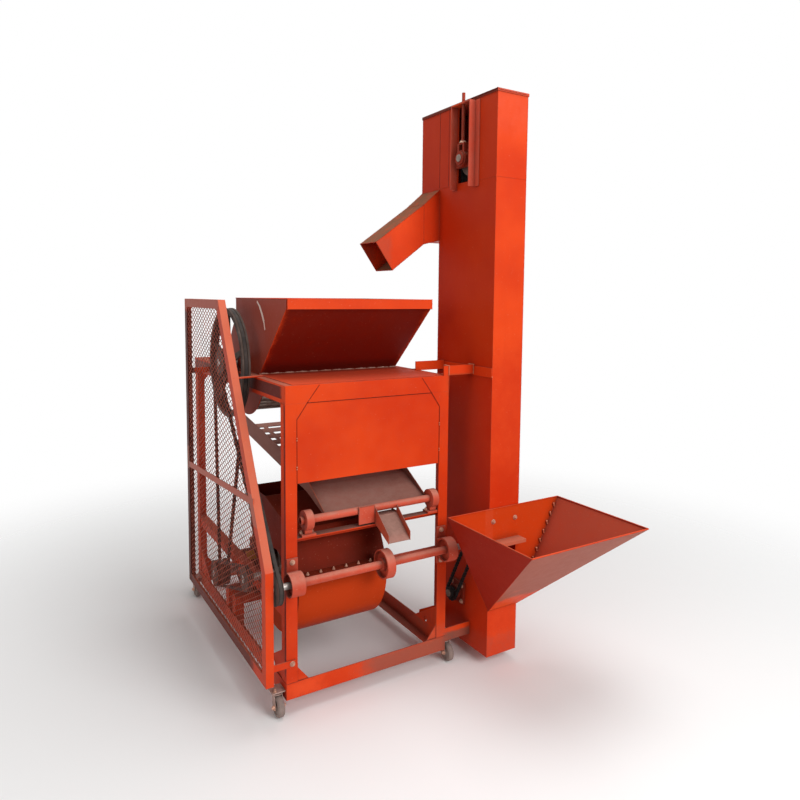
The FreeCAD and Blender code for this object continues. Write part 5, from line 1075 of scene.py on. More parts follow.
@dataclass
class MainFrame:
    """Seams and welds of the angle frame and its front panel."""

    width: float = 720.0
    depth: float = 1240.0
    top: float = 1244.0
    beam_foot: float = 1177.0
    foot_top: float = 123.0
    leg: float = 45.0
    wall: float = 4.0
    chamfer: tuple[float, float] = (41.0, 59.0)
    mitre_slants: tuple[float, float] = (2.2, 2.15)
    panel_foot: float = 880.0
    gusset_reach: tuple[float, float] = (134.0, 165.0)
    gusset_welded: tuple[float, float] = (0.62, 0.42)
    rear_inset: float = 3.0
    tacks: tuple[float, ...] = (934.0, 1041.0)
    tack_length: float = 8.0
    elevator: float = 851.0
    bracket_rise: float = 39.0
    bracket_depth: float = 34.0
    bracket_ends: tuple[float, float] = (-119.0, 270.0)

    def dress(self, tools: Tools) -> None:
        """Add the panel's seams and the frame's welds.

        Args:
            tools: what they are made with.
        """
        self.panel_seams(tools)
        self.corner_welds(tools)
        self.bracket_welds(tools)

    def panel_seams(self, tools: Tools) -> None:
        """Add dirty lines round the panel and along the mitres of the top beam.

        Args:
            tools: what they are made with.
        """
        left, right, z = self.leg, self.width - self.leg, self.beam_foot
        cx, cz = self.chamfer
        sides = ((left, 1.0, self.mitre_slants[0]), (right, -1.0, self.mitre_slants[1]))
        lines = [((left + cx, z), (right - cx, z))]
        lines += [((edge, z - cz), (edge + way * cx, z)) for edge, way, _ in sides]
        lines += [((edge, self.panel_foot), (edge, z - cz)) for edge, _, _ in sides]
        lines += [((edge + way * cx, z), (edge + way * slant * cx, self.top - 3))
                  for edge, way, slant in sides]
        bands = [Band((x0, 0.0, z0), (x1, 0.0, z1), (0.0, -1.0, 0.0), 2.2) for (x0, z0), (x1, z1) in lines]
        tools.shape("panel_seams", bands, "seam_dirt")

    def bracket_welds(self, tools: Tools) -> None:
        """Add tacks on the panel's side seams and rough beads on the brackets of the elevator.

        Args:
            tools: what they are made with.
        """
        lines = [seam((x, -0.4, z), (x, -0.4, z + self.tack_length))
                 for x in (self.leg, self.width - self.leg) for z in self.tacks]
        z, wall, rise = self.top, self.elevator, self.bracket_rise
        for x in (self.width, wall - self.wall):
            lines += [seam((x, -0.5, z + 2), (x, -0.5, z + rise - 1)),
                      seam((x, -0.5, z + rise), (x, self.bracket_depth, z + rise))]
        lines.append(seam(*[(wall, y, z - 2) for y in self.bracket_ends]))
        tools.welds.run_along("bracket_welds", lines, "weld_tack", 0.0034, 0.0048, 61)

    def corner_welds(self, tools: Tools) -> None:
        """Add beads where posts meet beams and along the corner plates.

        Args:
            tools: what they are made with.
        """
        t, leg, foot, beam = self.wall, self.leg, self.foot_top, self.beam_foot
        plate_z = foot + self.gusset_reach[1] * self.gusset_welded[1]
        lines = []
        for x, way in ((0.0, 1.0), (self.width, -1.0)):
            for y, inward in ((0.0, 1.0), (self.depth - self.rear_inset, -1.0)):
                inner_y = y + inward * t
                edge = x + way * (leg + 0.8)
                plate_x = x + way * (t + self.gusset_reach[0] * self.gusset_welded[0])
                lines += [seam((x + way, y, foot), (x + way * leg, y, foot)),
                          seam((x, y + inward, foot), (x, y + inward * leg, foot)),
                          seam((edge, inner_y, foot + 1), (edge, inner_y, plate_z)),
                          seam((edge, inner_y, foot + 0.8), (plate_x, inner_y, foot + 0.8)),
                          seam((x, y + inward, beam), (x, y + inward * leg, beam)),
                          seam((x, y, self.top - 2), (x, y, beam))]
        tools.welds.run_along("frame_welds", lines, "frame_paint", 0.0022, 0.0036)


@dataclass
class FeedHopper:
    """Wired rim, welds and a painted highlight on the feed hopper, and the bolts of the drum's bearings."""

    left: float = 40.0
    right: float = 680.0
    front: float = 85.0
    fold: float = 73.0
    back: float = 680.0
    top: float = 1555.0
    lip_foot: float = 1517.0
    foot_y: float = 373.0
    floor: float = 1246.0
    deck_end: float = 780.0
    front_rod: float = 2.4
    side_rod: float = 2.0
    seal_step: float = 8.0
    drum_y: float = 567.0
    blocks: tuple[float, float] = (21.0, 699.0)
    block_foot: float = 1254.0
    bolt_reach: float = 33.0
    glint_path: tuple[tuple[float, float], ...] = (
        (404, 1543), (374, 1524), (345, 1492), (323, 1461), (313, 1430))
    glint_widths: tuple[float, ...] = (9, 14, 15, 10)

    def dress(self, tools: Tools) -> None:
        """Add the rim, the welds, the bearing bolts and a pale streak on the left wall, which is a painted
        highlight.

        Args:
            tools: what they are made with.
        """
        l, r, f, b, z = self.left, self.right, self.fold, self.back, self.top - 1
        tools.shape("feed_hopper_rim", [
            Rod((l, f, z), (r, f, z), self.front_rod), Rod((l, f, z), (l, b, z), self.side_rod),
            Rod((r, f, z), (r, b, z), self.side_rod), Rod((l, b, z), (r, b, z), self.side_rod),
        ], "hopper_paint")
        self.join_sheets(tools)
        up = (0.0, 0.0, 1.0)
        places = [(at(x, self.drum_y + side * self.bolt_reach, self.block_foot), up)
                  for x in self.blocks for side in (-1.0, 1.0)]
        tools.bolts.set_in("drum_block_bolts", places, 0.0062)
        # painted highlight: a pale streak down the hopper's left wall
        strokes = zip(self.glint_path, self.glint_path[1:], self.glint_widths)
        tools.shape("feed_hopper_glint", [Band((l, *start), (l, *end), (-1.0, 0.0, 0.0), width, 0.2)
                                            for start, end, width in strokes], "pale_glint")

    def join_sheets(self, tools: Tools) -> None:
        """Add beads on the sheets' seams and the wavy seal along the foot of the front sheet.

        Args:
            tools: what they are made with.
        """
        y, g = self.foot_y, self.floor
        lines = []
        for start, end in (((self.front, self.lip_foot), (y, g)),
                           ((self.fold, self.lip_foot), (self.fold, self.top)),
                           ((y, g + 1), (self.deck_end, g + 1))):
            lines += [seam((x, *start), (x, *end)) for x in (self.left, self.right)]
        tools.welds.run_along("feed_hopper_welds", lines, "hopper_paint", 0.0026, 0.0042, 9)
        steps = int((self.right - self.left) / self.seal_step)
        wave = [at(self.left + self.seal_step * k,
                   y - 3.0 - 2.2 * math.sin(0.9 * k) - 1.6 * math.sin(2.3 * k), g + 2.5)
                for k in range(steps + 1)]
        tools.welds.run_along("feed_hopper_foot_seal", [wave], "weld_dust", 0.0046, 0.0064, 10)


@dataclass
class RollerChain:
    """Roller chain from the lay shaft to the boot, link by link; the sizes of a link are in metres."""

    plane: float = 812.0
    pitch: float = 15.875
    pitch_radius: float = 30.67
    first: tuple[float, float] = (-52.0, 527.0)
    second: tuple[float, float] = (84.0, 262.0)
    arc_steps: int = 14
    bar: Point = (0.0015, 0.0158, 0.0090)
    inner_plate: float = 0.0036
    outer_plate: float = 0.0053
    roller: tuple[float, float] = (0.0048, 0.0062)

    def pitch_line(self) -> bpy.types.Mesh:
        """Closed line that the pins lie on.

        Returns:
            An edge mesh round both sprockets.
        """
        lean = math.atan2(self.second[1] - self.first[1], self.second[0] - self.first[0])
        points = []
        for (y, z), start in ((self.first, lean + math.pi / 2), (self.second, lean - math.pi / 2)):
            for k in range(self.arc_steps + 1):
                a = start + math.pi * k / self.arc_steps
                points.append(tuple(at(self.plane, y + self.pitch_radius * math.cos(a),
                                       z + self.pitch_radius * math.sin(a))))
        mesh = bpy.data.meshes.new("chain_line")
        mesh.from_pydata(points, [(k, (k + 1) % len(points)) for k in range(len(points))], [])
        return mesh

    def links(self) -> int:
        """Even number of links that fills the line."""
        run = math.dist(self.first, self.second)
        return 2 * round((2 * run + 2 * math.pi * self.pitch_radius) / self.pitch / 2)

    def tree(self) -> NodeWorkshop:
        """Build the tree that sets inner and outer links in turn.

        Returns:
            The workshop with the finished tree.
        """
        w = NodeWorkshop("chain_links", {"Links": 50, "Pitch": 0.015875, "Plate Radius": 0.0064})
        curve = w.result("GeometryNodeMeshToCurve", Mesh=w.given("Geometry"))
        points = w.add("GeometryNodeCurveToPoints", {"mode": "COUNT"}, Curve=curve, Count=w.given("Links"))
        turn = w.result("FunctionNodeAlignRotationToVector", {"axis": "Y", "pivot_axis": "X"},
                        Vector=points.outputs["Tangent"])
        parity = w.calc("MODULO", w.result("GeometryNodeInputIndex"), 2.0)
        halves = [w.result("GeometryNodeInstanceOnPoints", Points=points.outputs[0],
                           Selection=w.calc(test, parity, 0.5), Instance=self.link(w, plate), Rotation=turn)
                  for test, plate in (("GREATER_THAN", self.inner_plate), ("LESS_THAN", self.outer_plate))]
        w.close(w.join(*halves))
        return w

    def link(self, w: NodeWorkshop, plate: float) -> bpy.types.NodeSocket:
        """Two plates with round ends and a roller.

        Args:
            w: workshop of the tree.
            plate: distance of the plates from the chain's middle.

        Returns:
            The geometry socket of one link.
        """
        half = w.calc("MULTIPLY", w.given("Pitch"), 0.5)
        across = (0.0, math.pi / 2, 0.0)
        parts = []
        for side in (-1.0, 1.0):
            bar = w.result("GeometryNodeMeshCube", Size=self.bar)
            parts.append(w.moved(bar, Translation=(side * plate, 0.0, 0.0)))
            for end in (-1.0, 1.0):
                eye = w.result("GeometryNodeMeshCylinder", Vertices=12, Radius=w.given("Plate Radius"),
                               Depth=self.bar[0])
                spot = w.result("ShaderNodeCombineXYZ", X=side * plate, Y=w.calc("MULTIPLY", half, end))
                parts.append(w.moved(eye, Translation=spot, Rotation=across))
        radius, depth = self.roller
        roller = w.result("GeometryNodeMeshCylinder", Vertices=10, Radius=radius, Depth=depth)
        parts.append(w.moved(roller, Translation=w.result("ShaderNodeCombineXYZ", Y=half), Rotation=across))
        return w.join(*parts)

    def dress(self, tools: Tools) -> None:
        """Put the links in place of the plain chain.

        Args:
            tools: what they are finished with.
        """
        piece = self.tree().run("chain_links", self.pitch_line(), tools.shop.materials["chain_steel"],
                                Links=self.links(), Pitch=self.pitch * 0.001)
        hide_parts("drive_chain")
        tools.shop.finish_piece(piece, "chain_steel", Body.MACHINE)


@dataclass
class LayShaft:
    """Bolts of the lay shaft, the guard strap, the inlet hopper and the boot bearings, and plate welds."""

    z: float = 527.0
    plate_wall: float = 6.0
    left_ring: tuple[float, float] = (23.0, 43.5)
    right_ring: tuple[float, float] = (688.0, 49.0)
    bolt_above: float = 20.0
    bolt_below: float = 12.0
    weld_reach: float = 22.0
    weld_inset: float = 16.0
    strap: tuple[float, float] = (22.5, 201.0)
    strap_wall: float = 4.0
    hopper_bolts: tuple[float, float] = (871.0, 989.0)
    hopper_bolt_z: float = 633.0
    hopper_back: float = -122.0
    boot: tuple[float, float] = (84.0, 262.0)
    boot_faces: tuple[float, float] = (842.0, 1018.0)
    boot_reach: float = 35.0

    def bolt_places(self) -> list[tuple[Vector, Point]]:
        """Seats of all bolts.

        Returns:
            Place and direction of each bolt.
        """
        out = (0.0, -1.0, 0.0)
        places = []
        for x, r in (self.left_ring, self.right_ring):
            for z in (self.z + r + self.bolt_above, self.z - r - self.bolt_below):
                places.append((at(x, -self.plate_wall, z), out))
        places.append((at(self.strap[0], -self.strap_wall, self.strap[1]), out))
        places += [(at(x, self.hopper_back, self.hopper_bolt_z), out) for x in self.hopper_bolts]
        reach = (-self.boot_reach, self.boot_reach)
        for x, way in zip(self.boot_faces, (-1.0, 1.0)):
            places += [(at(x, self.boot[0] + dy, self.boot[1] + dz), (way, 0.0, 0.0))
                       for dy in reach for dz in reach]
        return places

    def dress(self, tools: Tools) -> None:
        """Replace the plain bolt heads and add welds on the rings' plates.

        Args:
            tools: what they are made with.
        """
        base = aimed_points("plate_bolt_heads", self.bolt_places())
        piece = tools.bolts.workshop.run("plate_bolt_heads", base, tools.shop.materials["bolt_steel"],
                                         Head_Radius=0.0078, Head_Height=0.0056, Washer_Radius=0.0105,
                                         Stub_Radius=0.0040, Seed=11)
        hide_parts("plate_bolts")
        tools.shop.finish_piece(piece, "bolt_steel", Body.MACHINE)
        y = -self.plate_wall - 0.5
        lines = []
        for x, r in (self.left_ring, self.right_ring):
            ends = (self.z - r + self.weld_inset, self.z + r - self.weld_inset)
            lines += [seam(*[(x + side, y, z) for z in ends])
                      for side in (-self.weld_reach, self.weld_reach)]
        tools.welds.run_along("lay_plate_welds", lines, "bearing_iron", 0.0026, 0.0038)


@dataclass
class Rocker:
    """Bolts of the rocker rings and the fan's lip, rims of the tray and welds of the square plate."""

    rings: tuple[float, float] = (80.0, 641.0)
    ring_width: float = 30.0
    ring_bolt: float = 7.0
    foot_y: float = 32.0
    foot_top: float = 680.0
    plate: tuple[float, float] = (305.0, 375.0)
    plate_top: float = 749.0
    plate_y: float = 5.0
    plate_welds: tuple[float, float] = (30.0, 6.0)
    fan: tuple[float, float] = (66.0, 450.0)
    fan_lip: tuple[float, float] = (22.0, 517.0)
    lip_inset: float = 30.0
    lip_bolts: int = 7
    tray: tuple[float, float] = (174.2, 636.8)
    tray_edge: tuple[tuple[float, float], tuple[float, float]] = ((46.0, 742.0), (196.0, 825.0))
    tray_front: tuple[float, float] = (46.0, 730.6)

    def dress(self, tools: Tools) -> None:
        """Add the bolts, the rims and the welds.

        Args:
            tools: what they are made with.
        """
        up = (0.0, 0.0, 1.0)
        feet = [(at(x, self.foot_y, self.foot_top), up) for x0 in self.rings
                for x in (x0 - self.ring_bolt, x0 + self.ring_width + self.ring_bolt)]
        tools.bolts.set_in("rocker_foot_bolts", feet, 0.0060, 5)
        step = (self.fan[1] - self.fan[0] - 2 * self.lip_inset) / (self.lip_bolts - 1)
        lip = [(at(self.fan[0] + self.lip_inset + k * step, *self.fan_lip), up)
               for k in range(self.lip_bolts)]
        tools.bolts.set_in("fan_lip_bolts", lip, 0.0048, 6)
        low, high = self.tray_edge
        left, right = self.tray
        rims = [Rod((x, *low), (x, *high), 1.8) for x in self.tray]
        rims.append(Rod((left, *self.tray_front), (right, *self.tray_front), 1.6))
        tools.shape("tray_rims", rims, "tray_edge", Body.SIEVE)
        x0, x1 = self.plate
        y, z = self.plate_y, self.plate_top
        from_top, to_top = self.plate_welds
        lines = [seam((x0 + 4, y, z), (x1 - 4, y, z))]
        lines += [seam((x, y, z - from_top), (x, y, z - to_top)) for x in self.plate]
        tools.welds.run_along("rocker_plate_welds", lines, "sieve_paint", 0.0024, 0.0036, body=Body.SIEVE)


@dataclass
class Elevator:
    """Seams of trunk and head, runs on the lid, take-up threads and nuts, spout seams and the belt."""

    left: float = 851.0
    right: float = 1009.0
    front: float = -120.0
    back: float = 275.0
    head_back: float = 419.0
    foot: float = 45.0
    head_foot: float = 2050.0
    leg_foot: float = 1821.0
    top: float = 2394.0
    lid_lap: float = 14.0
    shaft_y: float = 84.0
    belt_x: float = 930.0
    belt_stretch: tuple[float, float] = (340.0, 2070.0)
    rail_depth: float = 34.0
    screw: tuple[float, float] = (2215.0, 2406.0)
    spout_bend: tuple[float, float, float] = (768.0, 1975.0, 1801.0)
    mouth_top: tuple[float, float] = (525.0, 1799.0)
    mouth_low: tuple[float, float] = (608.0, 1682.0)
    spout_start: tuple[float, float] = (1821.0, 2046.0)
    head_seams: tuple[float, float] = (208.0, 277.0)
    head_seam_foot: float = 2053.0
    lid_runs: tuple[int, int] = (22, 30)

    def dress(self, tools: Tools) -> None:
        """Add everything on the elevator.

        Args:
            tools: what it is made with.
        """
        self.join_trunk(tools)
        self.run_paint(tools)
        self.cut_screws(tools)
        self.join_spout(tools)
        self.stretch_belt()

    def join_trunk(self, tools: Tools) -> None:
        """Add beads down the corners of the trunk and round the joint of the head, and its side seams.

        Args:
            tools: what they are made with.
        """
        l, r, f, b, z = self.left, self.right, self.front, self.back, self.head_foot
        leg, under_lid = self.leg_foot, self.top - self.lid_lap
        lines = [seam((l, f, z), (r, f, z)), seam((l, f, z), (l, b, z)), seam((r, f, z), (r, b, z))]
        lines += [seam((x, b, z), (x, b, leg)) for x in (l, r)]
        lines += [seam((x, self.head_back, leg), (x, self.head_back, under_lid)) for x in (l, r)]
        lines += [seam((x, y, self.foot + 2), (x, y, z)) for x in (l, r) for y in (f, b)]
        lines += [seam((x, f, z), (x, f, under_lid)) for x in (l, r)]
        bands = [Band((x, y, self.head_seam_foot), (x, y, under_lid + 2), (way, 0.0, 0.0), 2.6, 0.2)
                 for y in self.head_seams for x, way in ((l, -1.0), (r, 1.0))]
        tools.shape("head_seams", bands, "seam_dirt")
        tools.welds.run_along("trunk_welds", lines, "tower_paint", 0.0014, 0.0046, 21)

    def run_paint(self, tools: Tools) -> None:
        """Add thick runs of paint along the lid's front edge, and a ragged row of dark beads along its left
        edge as painted shade under the lid's flange.

        Args:
            tools: what they are made with.
        """
        z, out = self.top - 1.5, 3.5
        in_front, aside = self.lid_runs
        front = [at(self.left + 4 + 7 * k, self.front - out, z - 1.5 - 3.0 * abs(math.sin(1.3 * k)))
                 for k in range(in_front)]
        side = [at(self.left - out, self.front + 8 * k, z - 2.0 * abs(math.sin(0.8 * k)))
                for k in range(aside)]
        tools.welds.run_along("lid_paint_runs", [front], "bearing_paint", 0.0030, 0.0052, 8)
        # painted shade: dark beads along the lid's left edge, under its flange
        tools.welds.run_along("lid_edge_shade", [side], "seam_dirt", 0.0026, 0.0058, 9)

    def cut_screws(self, tools: Tools) -> None:
        """Add threads on the take-up screws, with a nut on the neck of each block.

        Args:
            tools: what they are made with.
        """
        low, high = self.screw
        lines, nuts = [], []
        for x in (self.left - self.rail_depth / 2, self.right + self.rail_depth / 2):
            lines.append(seam((x, self.shaft_y, low), (x, self.shaft_y, high)))
            nuts.append((at(x, self.shaft_y, low - 0.8), (0.0, 0.0, 1.0)))
        tools.rings.cut("take_up_threads", lines, Body.TAKE_UP)
        tools.bolts.set_in("take_up_nuts", nuts, 0.0125, 4, Body.TAKE_UP)

    def join_spout(self, tools: Tools) -> None:
        """Add beads at the trunk, round the bend and along the edges, and the rim of the mouth.

        Args:
            tools: what they are made with.
        """
        y0, y1, l = self.back, self.head_back, self.left
        bx, bt, bl = self.spout_bend
        low, high = self.spout_start
        (tx, tz), (lx, lz) = self.mouth_top, self.mouth_low
        lines = [seam((l, y0, low), (l, y0, high)), seam((bx, y0, bl), (bx, y0, bt)),
                 seam((bx, y0, bt), (bx, y1, bt)), seam((bx, y0, bl), (bx, y1, bl)),
                 seam((l, y0, high), (l, y1, high))]
        for y in (y0, y1):
            lines += [seam((l, y, high), (bx, y, bt), (tx, y, tz)),
                      seam((l, y, low), (bx, y, bl), (lx, y, lz))]
        tools.welds.run_along("spout_welds", lines, "spout_paint", 0.0018, 0.0042, 31)
        rim = [((tx, y0, tz), (tx, y1, tz)), ((lx, y0, lz), (lx, y1, lz)),
               ((tx, y0, tz), (lx, y0, lz)), ((tx, y1, tz), (lx, y1, lz))]
        tools.shape("spout_mouth_rim", [Rod(a, b, 2.2) for a, b in rim], "spout_paint")

    def stretch_belt(self) -> None:
        """Put a copy of the belt's mesh in place of the CAD belt."""
        piece = placed_mesh("stretching_belt", frame["nodes"]["elevator_belt"].data.copy())
        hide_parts("elevator_belt")
        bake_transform(piece)
        log.info("%s stretches between the machine and the take-up", piece.name)


@dataclass
class InletHopper:
    """Wired rim and welds of the low hopper on the trunk."""

    left: float = 640.0
    right: float = 1234.0
    front: float = -607.0
    back: float = -122.0
    rim: float = 688.0
    rods: tuple[float, float] = (2.9, 2.2)
    neck: tuple[float, float, float] = (851.0, 1009.0, -128.0)
    neck_z: float = 254.0
    dots: int = 8
    first_dot: float = 0.06
    dot_step: float = 0.085

    def dress(self, tools: Tools) -> None:
        """Add the rim, the corner welds and the dots in the rear right corner.

        Args:
            tools: what they are made with.
        """
        l, r, f, b, z = self.left, self.right, self.front, self.back, self.rim
        thick, thin = self.rods
        tools.shape("inlet_hopper_rim", [Rod((l, f, z), (r, f, z), thick), Rod((l, f, z), (l, b, z), thick),
                                         Rod((r, f, z), (r, b, z), thick), Rod((l, b, z), (r, b, z), thin)],
                    "hopper_paint")
        nl, nr, nf = self.neck
        g = self.neck_z
        lines = [seam((l, f, z), (nl, nf, g)), seam((r, f, z), (nr, nf, g)), seam((nl, nf, g), (nr, nf, g)),
                 seam((l, b, z), (nl, b, g)), seam((r, b, z), (nr, b, g))]
        tools.welds.run_along("inlet_hopper_welds", lines, "hopper_paint", 0.0020, 0.0042, 41)
        dots = []
        for k in range(self.dots):
            share = self.first_dot + self.dot_step * k
            x, height = r + share * (nr - r), z + share * (g - z)
            dots.append(seam((x - 12, b - 5, height - 2), (x - 9, b - 5, height - 13)))
        tools.welds.run_along("inlet_corner_tacks", dots, "weld_tack", 0.0048, 0.0056, 42)


@dataclass
class BeltGuard:
    """Expanded mesh of the belt guard."""

    plane: float = -105.5
    front: float = -85.0
    back: float = 985.0
    foot: float = 185.0
    top: float = 1548.0
    knee: float = 603.0
    top_front: float = 444.0
    edge: float = 24.5
    cell: tuple[float, float] = (42.0, 23.0)
    strand: float = 1.35
    thickness: float = 1.8
    upright: Point = (math.pi / 2, 0.0, math.pi / 2)

    def outline(self, inset: float) -> list[tuple[float, float]]:
        """Corners of the guard drawn in by an inset.

        Args:
            inset: how far in, in millimetres.

        Returns:
            The corners (y, z) in order.
        """
        lean = math.atan2(self.top_front - self.front, self.top - self.knee)
        side = inset / math.cos(lean)
        head = self.top_front + side - inset * math.tan(lean)
        return [(self.front + inset, self.foot + inset), (self.back - inset, self.foot + inset),
                (self.back - inset, self.top - inset), (head, self.top - inset),
                (self.front + inset, self.knee - inset * math.tan(lean / 2))]

    def field(self) -> bpy.types.Mesh:
        """Flat face that the middles of the cells must lie on.

        Returns:
            A mesh of one face.
        """
        mesh = bpy.data.meshes.new("mesh_field")
        corners = [tuple(at(self.plane, y, z)) for y, z in self.outline(self.edge)]
        mesh.from_pydata(corners, [], [tuple(range(len(corners)))])
        return mesh

    def lattice(self, w: NodeWorkshop) -> bpy.types.NodeSocket:
        """Two grids of points over the field's box, the second one half a cell further both ways.

        Args:
            w: workshop of the tree.

        Returns:
            The geometry socket of the points that lie on the field.
        """
        box = w.add("GeometryNodeBoundBox", Geometry=w.given("Geometry"))
        low, high = w.split(box.outputs["Min"]), w.split(box.outputs["Max"])
        counts, sizes = [], []
        for axis, cell in (("Y", "Long"), ("Z", "Short")):
            size = w.calc("SUBTRACT", high[axis], low[axis])
            counts.append(w.calc("ADD", w.calc("CEIL", w.calc("DIVIDE", size, w.given(cell))), 1.0))
            sizes.append(w.calc("MULTIPLY", w.calc("SUBTRACT", counts[-1], 1.0), w.given(cell)))
        grid = w.result("GeometryNodeMeshGrid", Size_X=sizes[0], Size_Y=sizes[1], Vertices_X=counts[0],
                        Vertices_Y=counts[1])
        ends = w.vector("ADD", box.outputs["Min"], box.outputs["Max"])
        middle = w.vector("MULTIPLY", ends, (0.5, 0.5, 0.5))
        first = w.moved(grid, Translation=middle, Rotation=self.upright)
        shift = w.result("ShaderNodeCombineXYZ", Y=w.calc("MULTIPLY", w.given("Long"), 0.5),
                         Z=w.calc("MULTIPLY", w.given("Short"), 0.5))
        both = w.join(first, w.moved(first, Translation=shift))
        start = w.vector("SUBTRACT", w.result("GeometryNodeInputPosition"), (0.01, 0.0, 0.0))
        ray = w.add("GeometryNodeRaycast", Target_Geometry=w.given("Geometry"), Source_Position=start,
                    Ray_Direction=(1.0, 0.0, 0.0), Ray_Length=0.05)
        missed = w.calc("LESS_THAN", ray.outputs["Is Hit"], 0.5)
        return w.result("GeometryNodeDeleteGeometry", {"domain": "POINT"}, Geometry=both, Selection=missed)

    def diamond(self, w: NodeWorkshop) -> bpy.types.NodeSocket:
        """One cell of four flat strands, standing in the guard's plane.

        Args:
            w: workshop of the tree.

        Returns:
            The geometry socket of the cell.
        """
        a, b = [w.calc("MULTIPLY", w.given(side), 0.5) for side in ("Long", "Short")]
        slant = w.calc("SQRT", w.calc("ADD", w.calc("POWER", a, 2.0), w.calc("POWER", b, 2.0)))
        reach = w.calc("DIVIDE", w.calc("MULTIPLY", a, b), slant)
        half_strand = w.calc("MULTIPLY", w.given("Strand"), 0.5)
        share = w.calc("DIVIDE", w.calc("SUBTRACT", reach, half_strand), reach)
        half = w.calc("MULTIPLY", b, share)
        kite = w.result("GeometryNodeCurvePrimitiveQuadrilateral", {"mode": "KITE"}, Bottom_Height=half,
                        Width=w.calc("MULTIPLY", w.given("Long"), share), Top_Height=half)
        strand = w.result("GeometryNodeCurvePrimitiveQuadrilateral", {"mode": "RECTANGLE"},
                          Width=w.given("Strand"), Height=w.given("Thickness"))
        cell = w.result("GeometryNodeCurveToMesh", Curve=kite, Profile_Curve=strand)
        return w.moved(cell, Rotation=self.upright)

    def dress(self, tools: Tools) -> None:
        """Put the expanded mesh in place of the plain one.

        Args:
            tools: what it is finished with.
        """
        w = NodeWorkshop("expanded_mesh", {"Long": 0.042, "Short": 0.023, "Strand": 0.00135,
                                           "Thickness": 0.0018})
        w.close(w.result("GeometryNodeInstanceOnPoints", Points=self.lattice(w), Instance=self.diamond(w)))
        piece = w.run("guard_lattice", self.field(), tools.shop.materials["guard_steel"],
                      Long=self.cell[0] * 0.001, Short=self.cell[1] * 0.001, Strand=self.strand * 0.001,
                      Thickness=self.thickness * 0.001)
        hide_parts("guard_mesh")
        tools.shop.finish_piece(piece, "guard_steel", Body.MACHINE)


@dataclass
class Motor:
    """Bare plate, cowl slots and box screws of the motor."""

    left: float = 40.0
    length: float = 270.0
    y: float = 690.0
    z: float = 312.0
    radius: float = 88.0
    slots: int = 18
    slot_reach: tuple[float, float] = (30.0, 62.0)
    plate: tuple[float, float] = (24.0, 66.0)
    plate_lean: float = 124.0
    plate_strips: int = 6
    strip_turn: float = 5.0
    strip_lap: float = 0.2
    box: tuple[float, float, float, float] = (110.0, 210.0, 645.0, 735.0)
    box_top: float = 434.0
    screw_inset: float = 10.0

    def dress(self, tools: Tools) -> None:
        """Add the slots, the plate and the screws.

        Args:
            tools: what they are made with.
        """
        end = self.left + self.length - 0.2
        slots = []
        for k in range(self.slots):
            a = 2 * math.pi * k / self.slots
            inner, outer = [(end, self.y + math.cos(a) * reach, self.z + math.sin(a) * reach)
                            for reach in self.slot_reach]
            slots.append(Band(inner, outer, (1.0, 0.0, 0.0), 4.0, 0.4))
        tools.shape("motor_cowl_slots", slots, "seam_dirt")
        tools.shape("motor_plate", self.curved_plate(), "plate_yellow")
        x0, x1, y0, y1 = self.box
        inset = self.screw_inset
        corners = [(at(x, y, self.box_top), (0.0, 0.0, 1.0)) for x in (x0 + inset, x1 - inset)
                   for y in (y0 + inset, y1 - inset)]
        tools.bolts.set_in("terminal_box_screws", corners, 0.0042, 12)

    def curved_plate(self) -> list[Band]:
        """Plate that follows the round of the motor, in strips side by side.

        Returns:
            Its strips.
        """
        reach = self.radius + 0.6
        x0, x1 = [self.left + x for x in self.plate]
        strips = []
        for k in range(self.plate_strips):
            from_middle = self.strip_turn * (k - self.plate_strips / 2)
            a = math.radians(self.plate_lean + from_middle + (self.strip_turn + self.strip_lap) / 2)
            way = (0.0, math.cos(a), math.sin(a))
            y, z = self.y + reach * way[1], self.z + reach * way[2]
            strips.append(Band((x0, y, z), (x1, y, z), way, 8.4, 0.8))
        return strips


@dataclass
class Casters:
    """Axle nuts of the four casters and bolts through their top plates."""

    out: float = 24.0
    width: float = 720.0
    inset: float = 37.0
    depth: float = 1240.0
    trail: float = 20.0
    wheel_radius: float = 38.0
    fork_half: float = 16.5
    plate_top: float = 97.7
    bolt_out: float = 14.0
    bolt_reach: float = 18.0

    def dress(self, tools: Tools) -> None:
        """Add nuts on both ends of each axle and plate bolts.

        Args:
            tools: what they are made with.
        """
        left, right, rear = -self.out, self.width + self.out, self.depth - self.inset
        for corner, x, y, body in (("front_left", left, self.inset, Body.LEFT_FORK),
                                   ("front_right", right, self.inset, Body.RIGHT_FORK),
                                   ("rear_left", left, rear, Body.MACHINE),
                                   ("rear_right", right, rear, Body.MACHINE)):
            nuts = [(at(x + way * self.fork_half, y - self.trail, self.wheel_radius), (way, 0.0, 0.0))
                    for way in (-1.0, 1.0)]
            tools.bolts.set_in(f"axle_nuts_{corner}", nuts, 0.0080, 14, body)
        bolts = [(at(x, middle + dy, self.plate_top), (0.0, 0.0, 1.0))
                 for x in (left - self.bolt_out, right + self.bolt_out) for middle in (self.inset, rear)
                 for dy in (-self.bolt_reach, self.bolt_reach)]
        tools.bolts.set_in("caster_plate_bolts", bolts, 0.0056, 15)


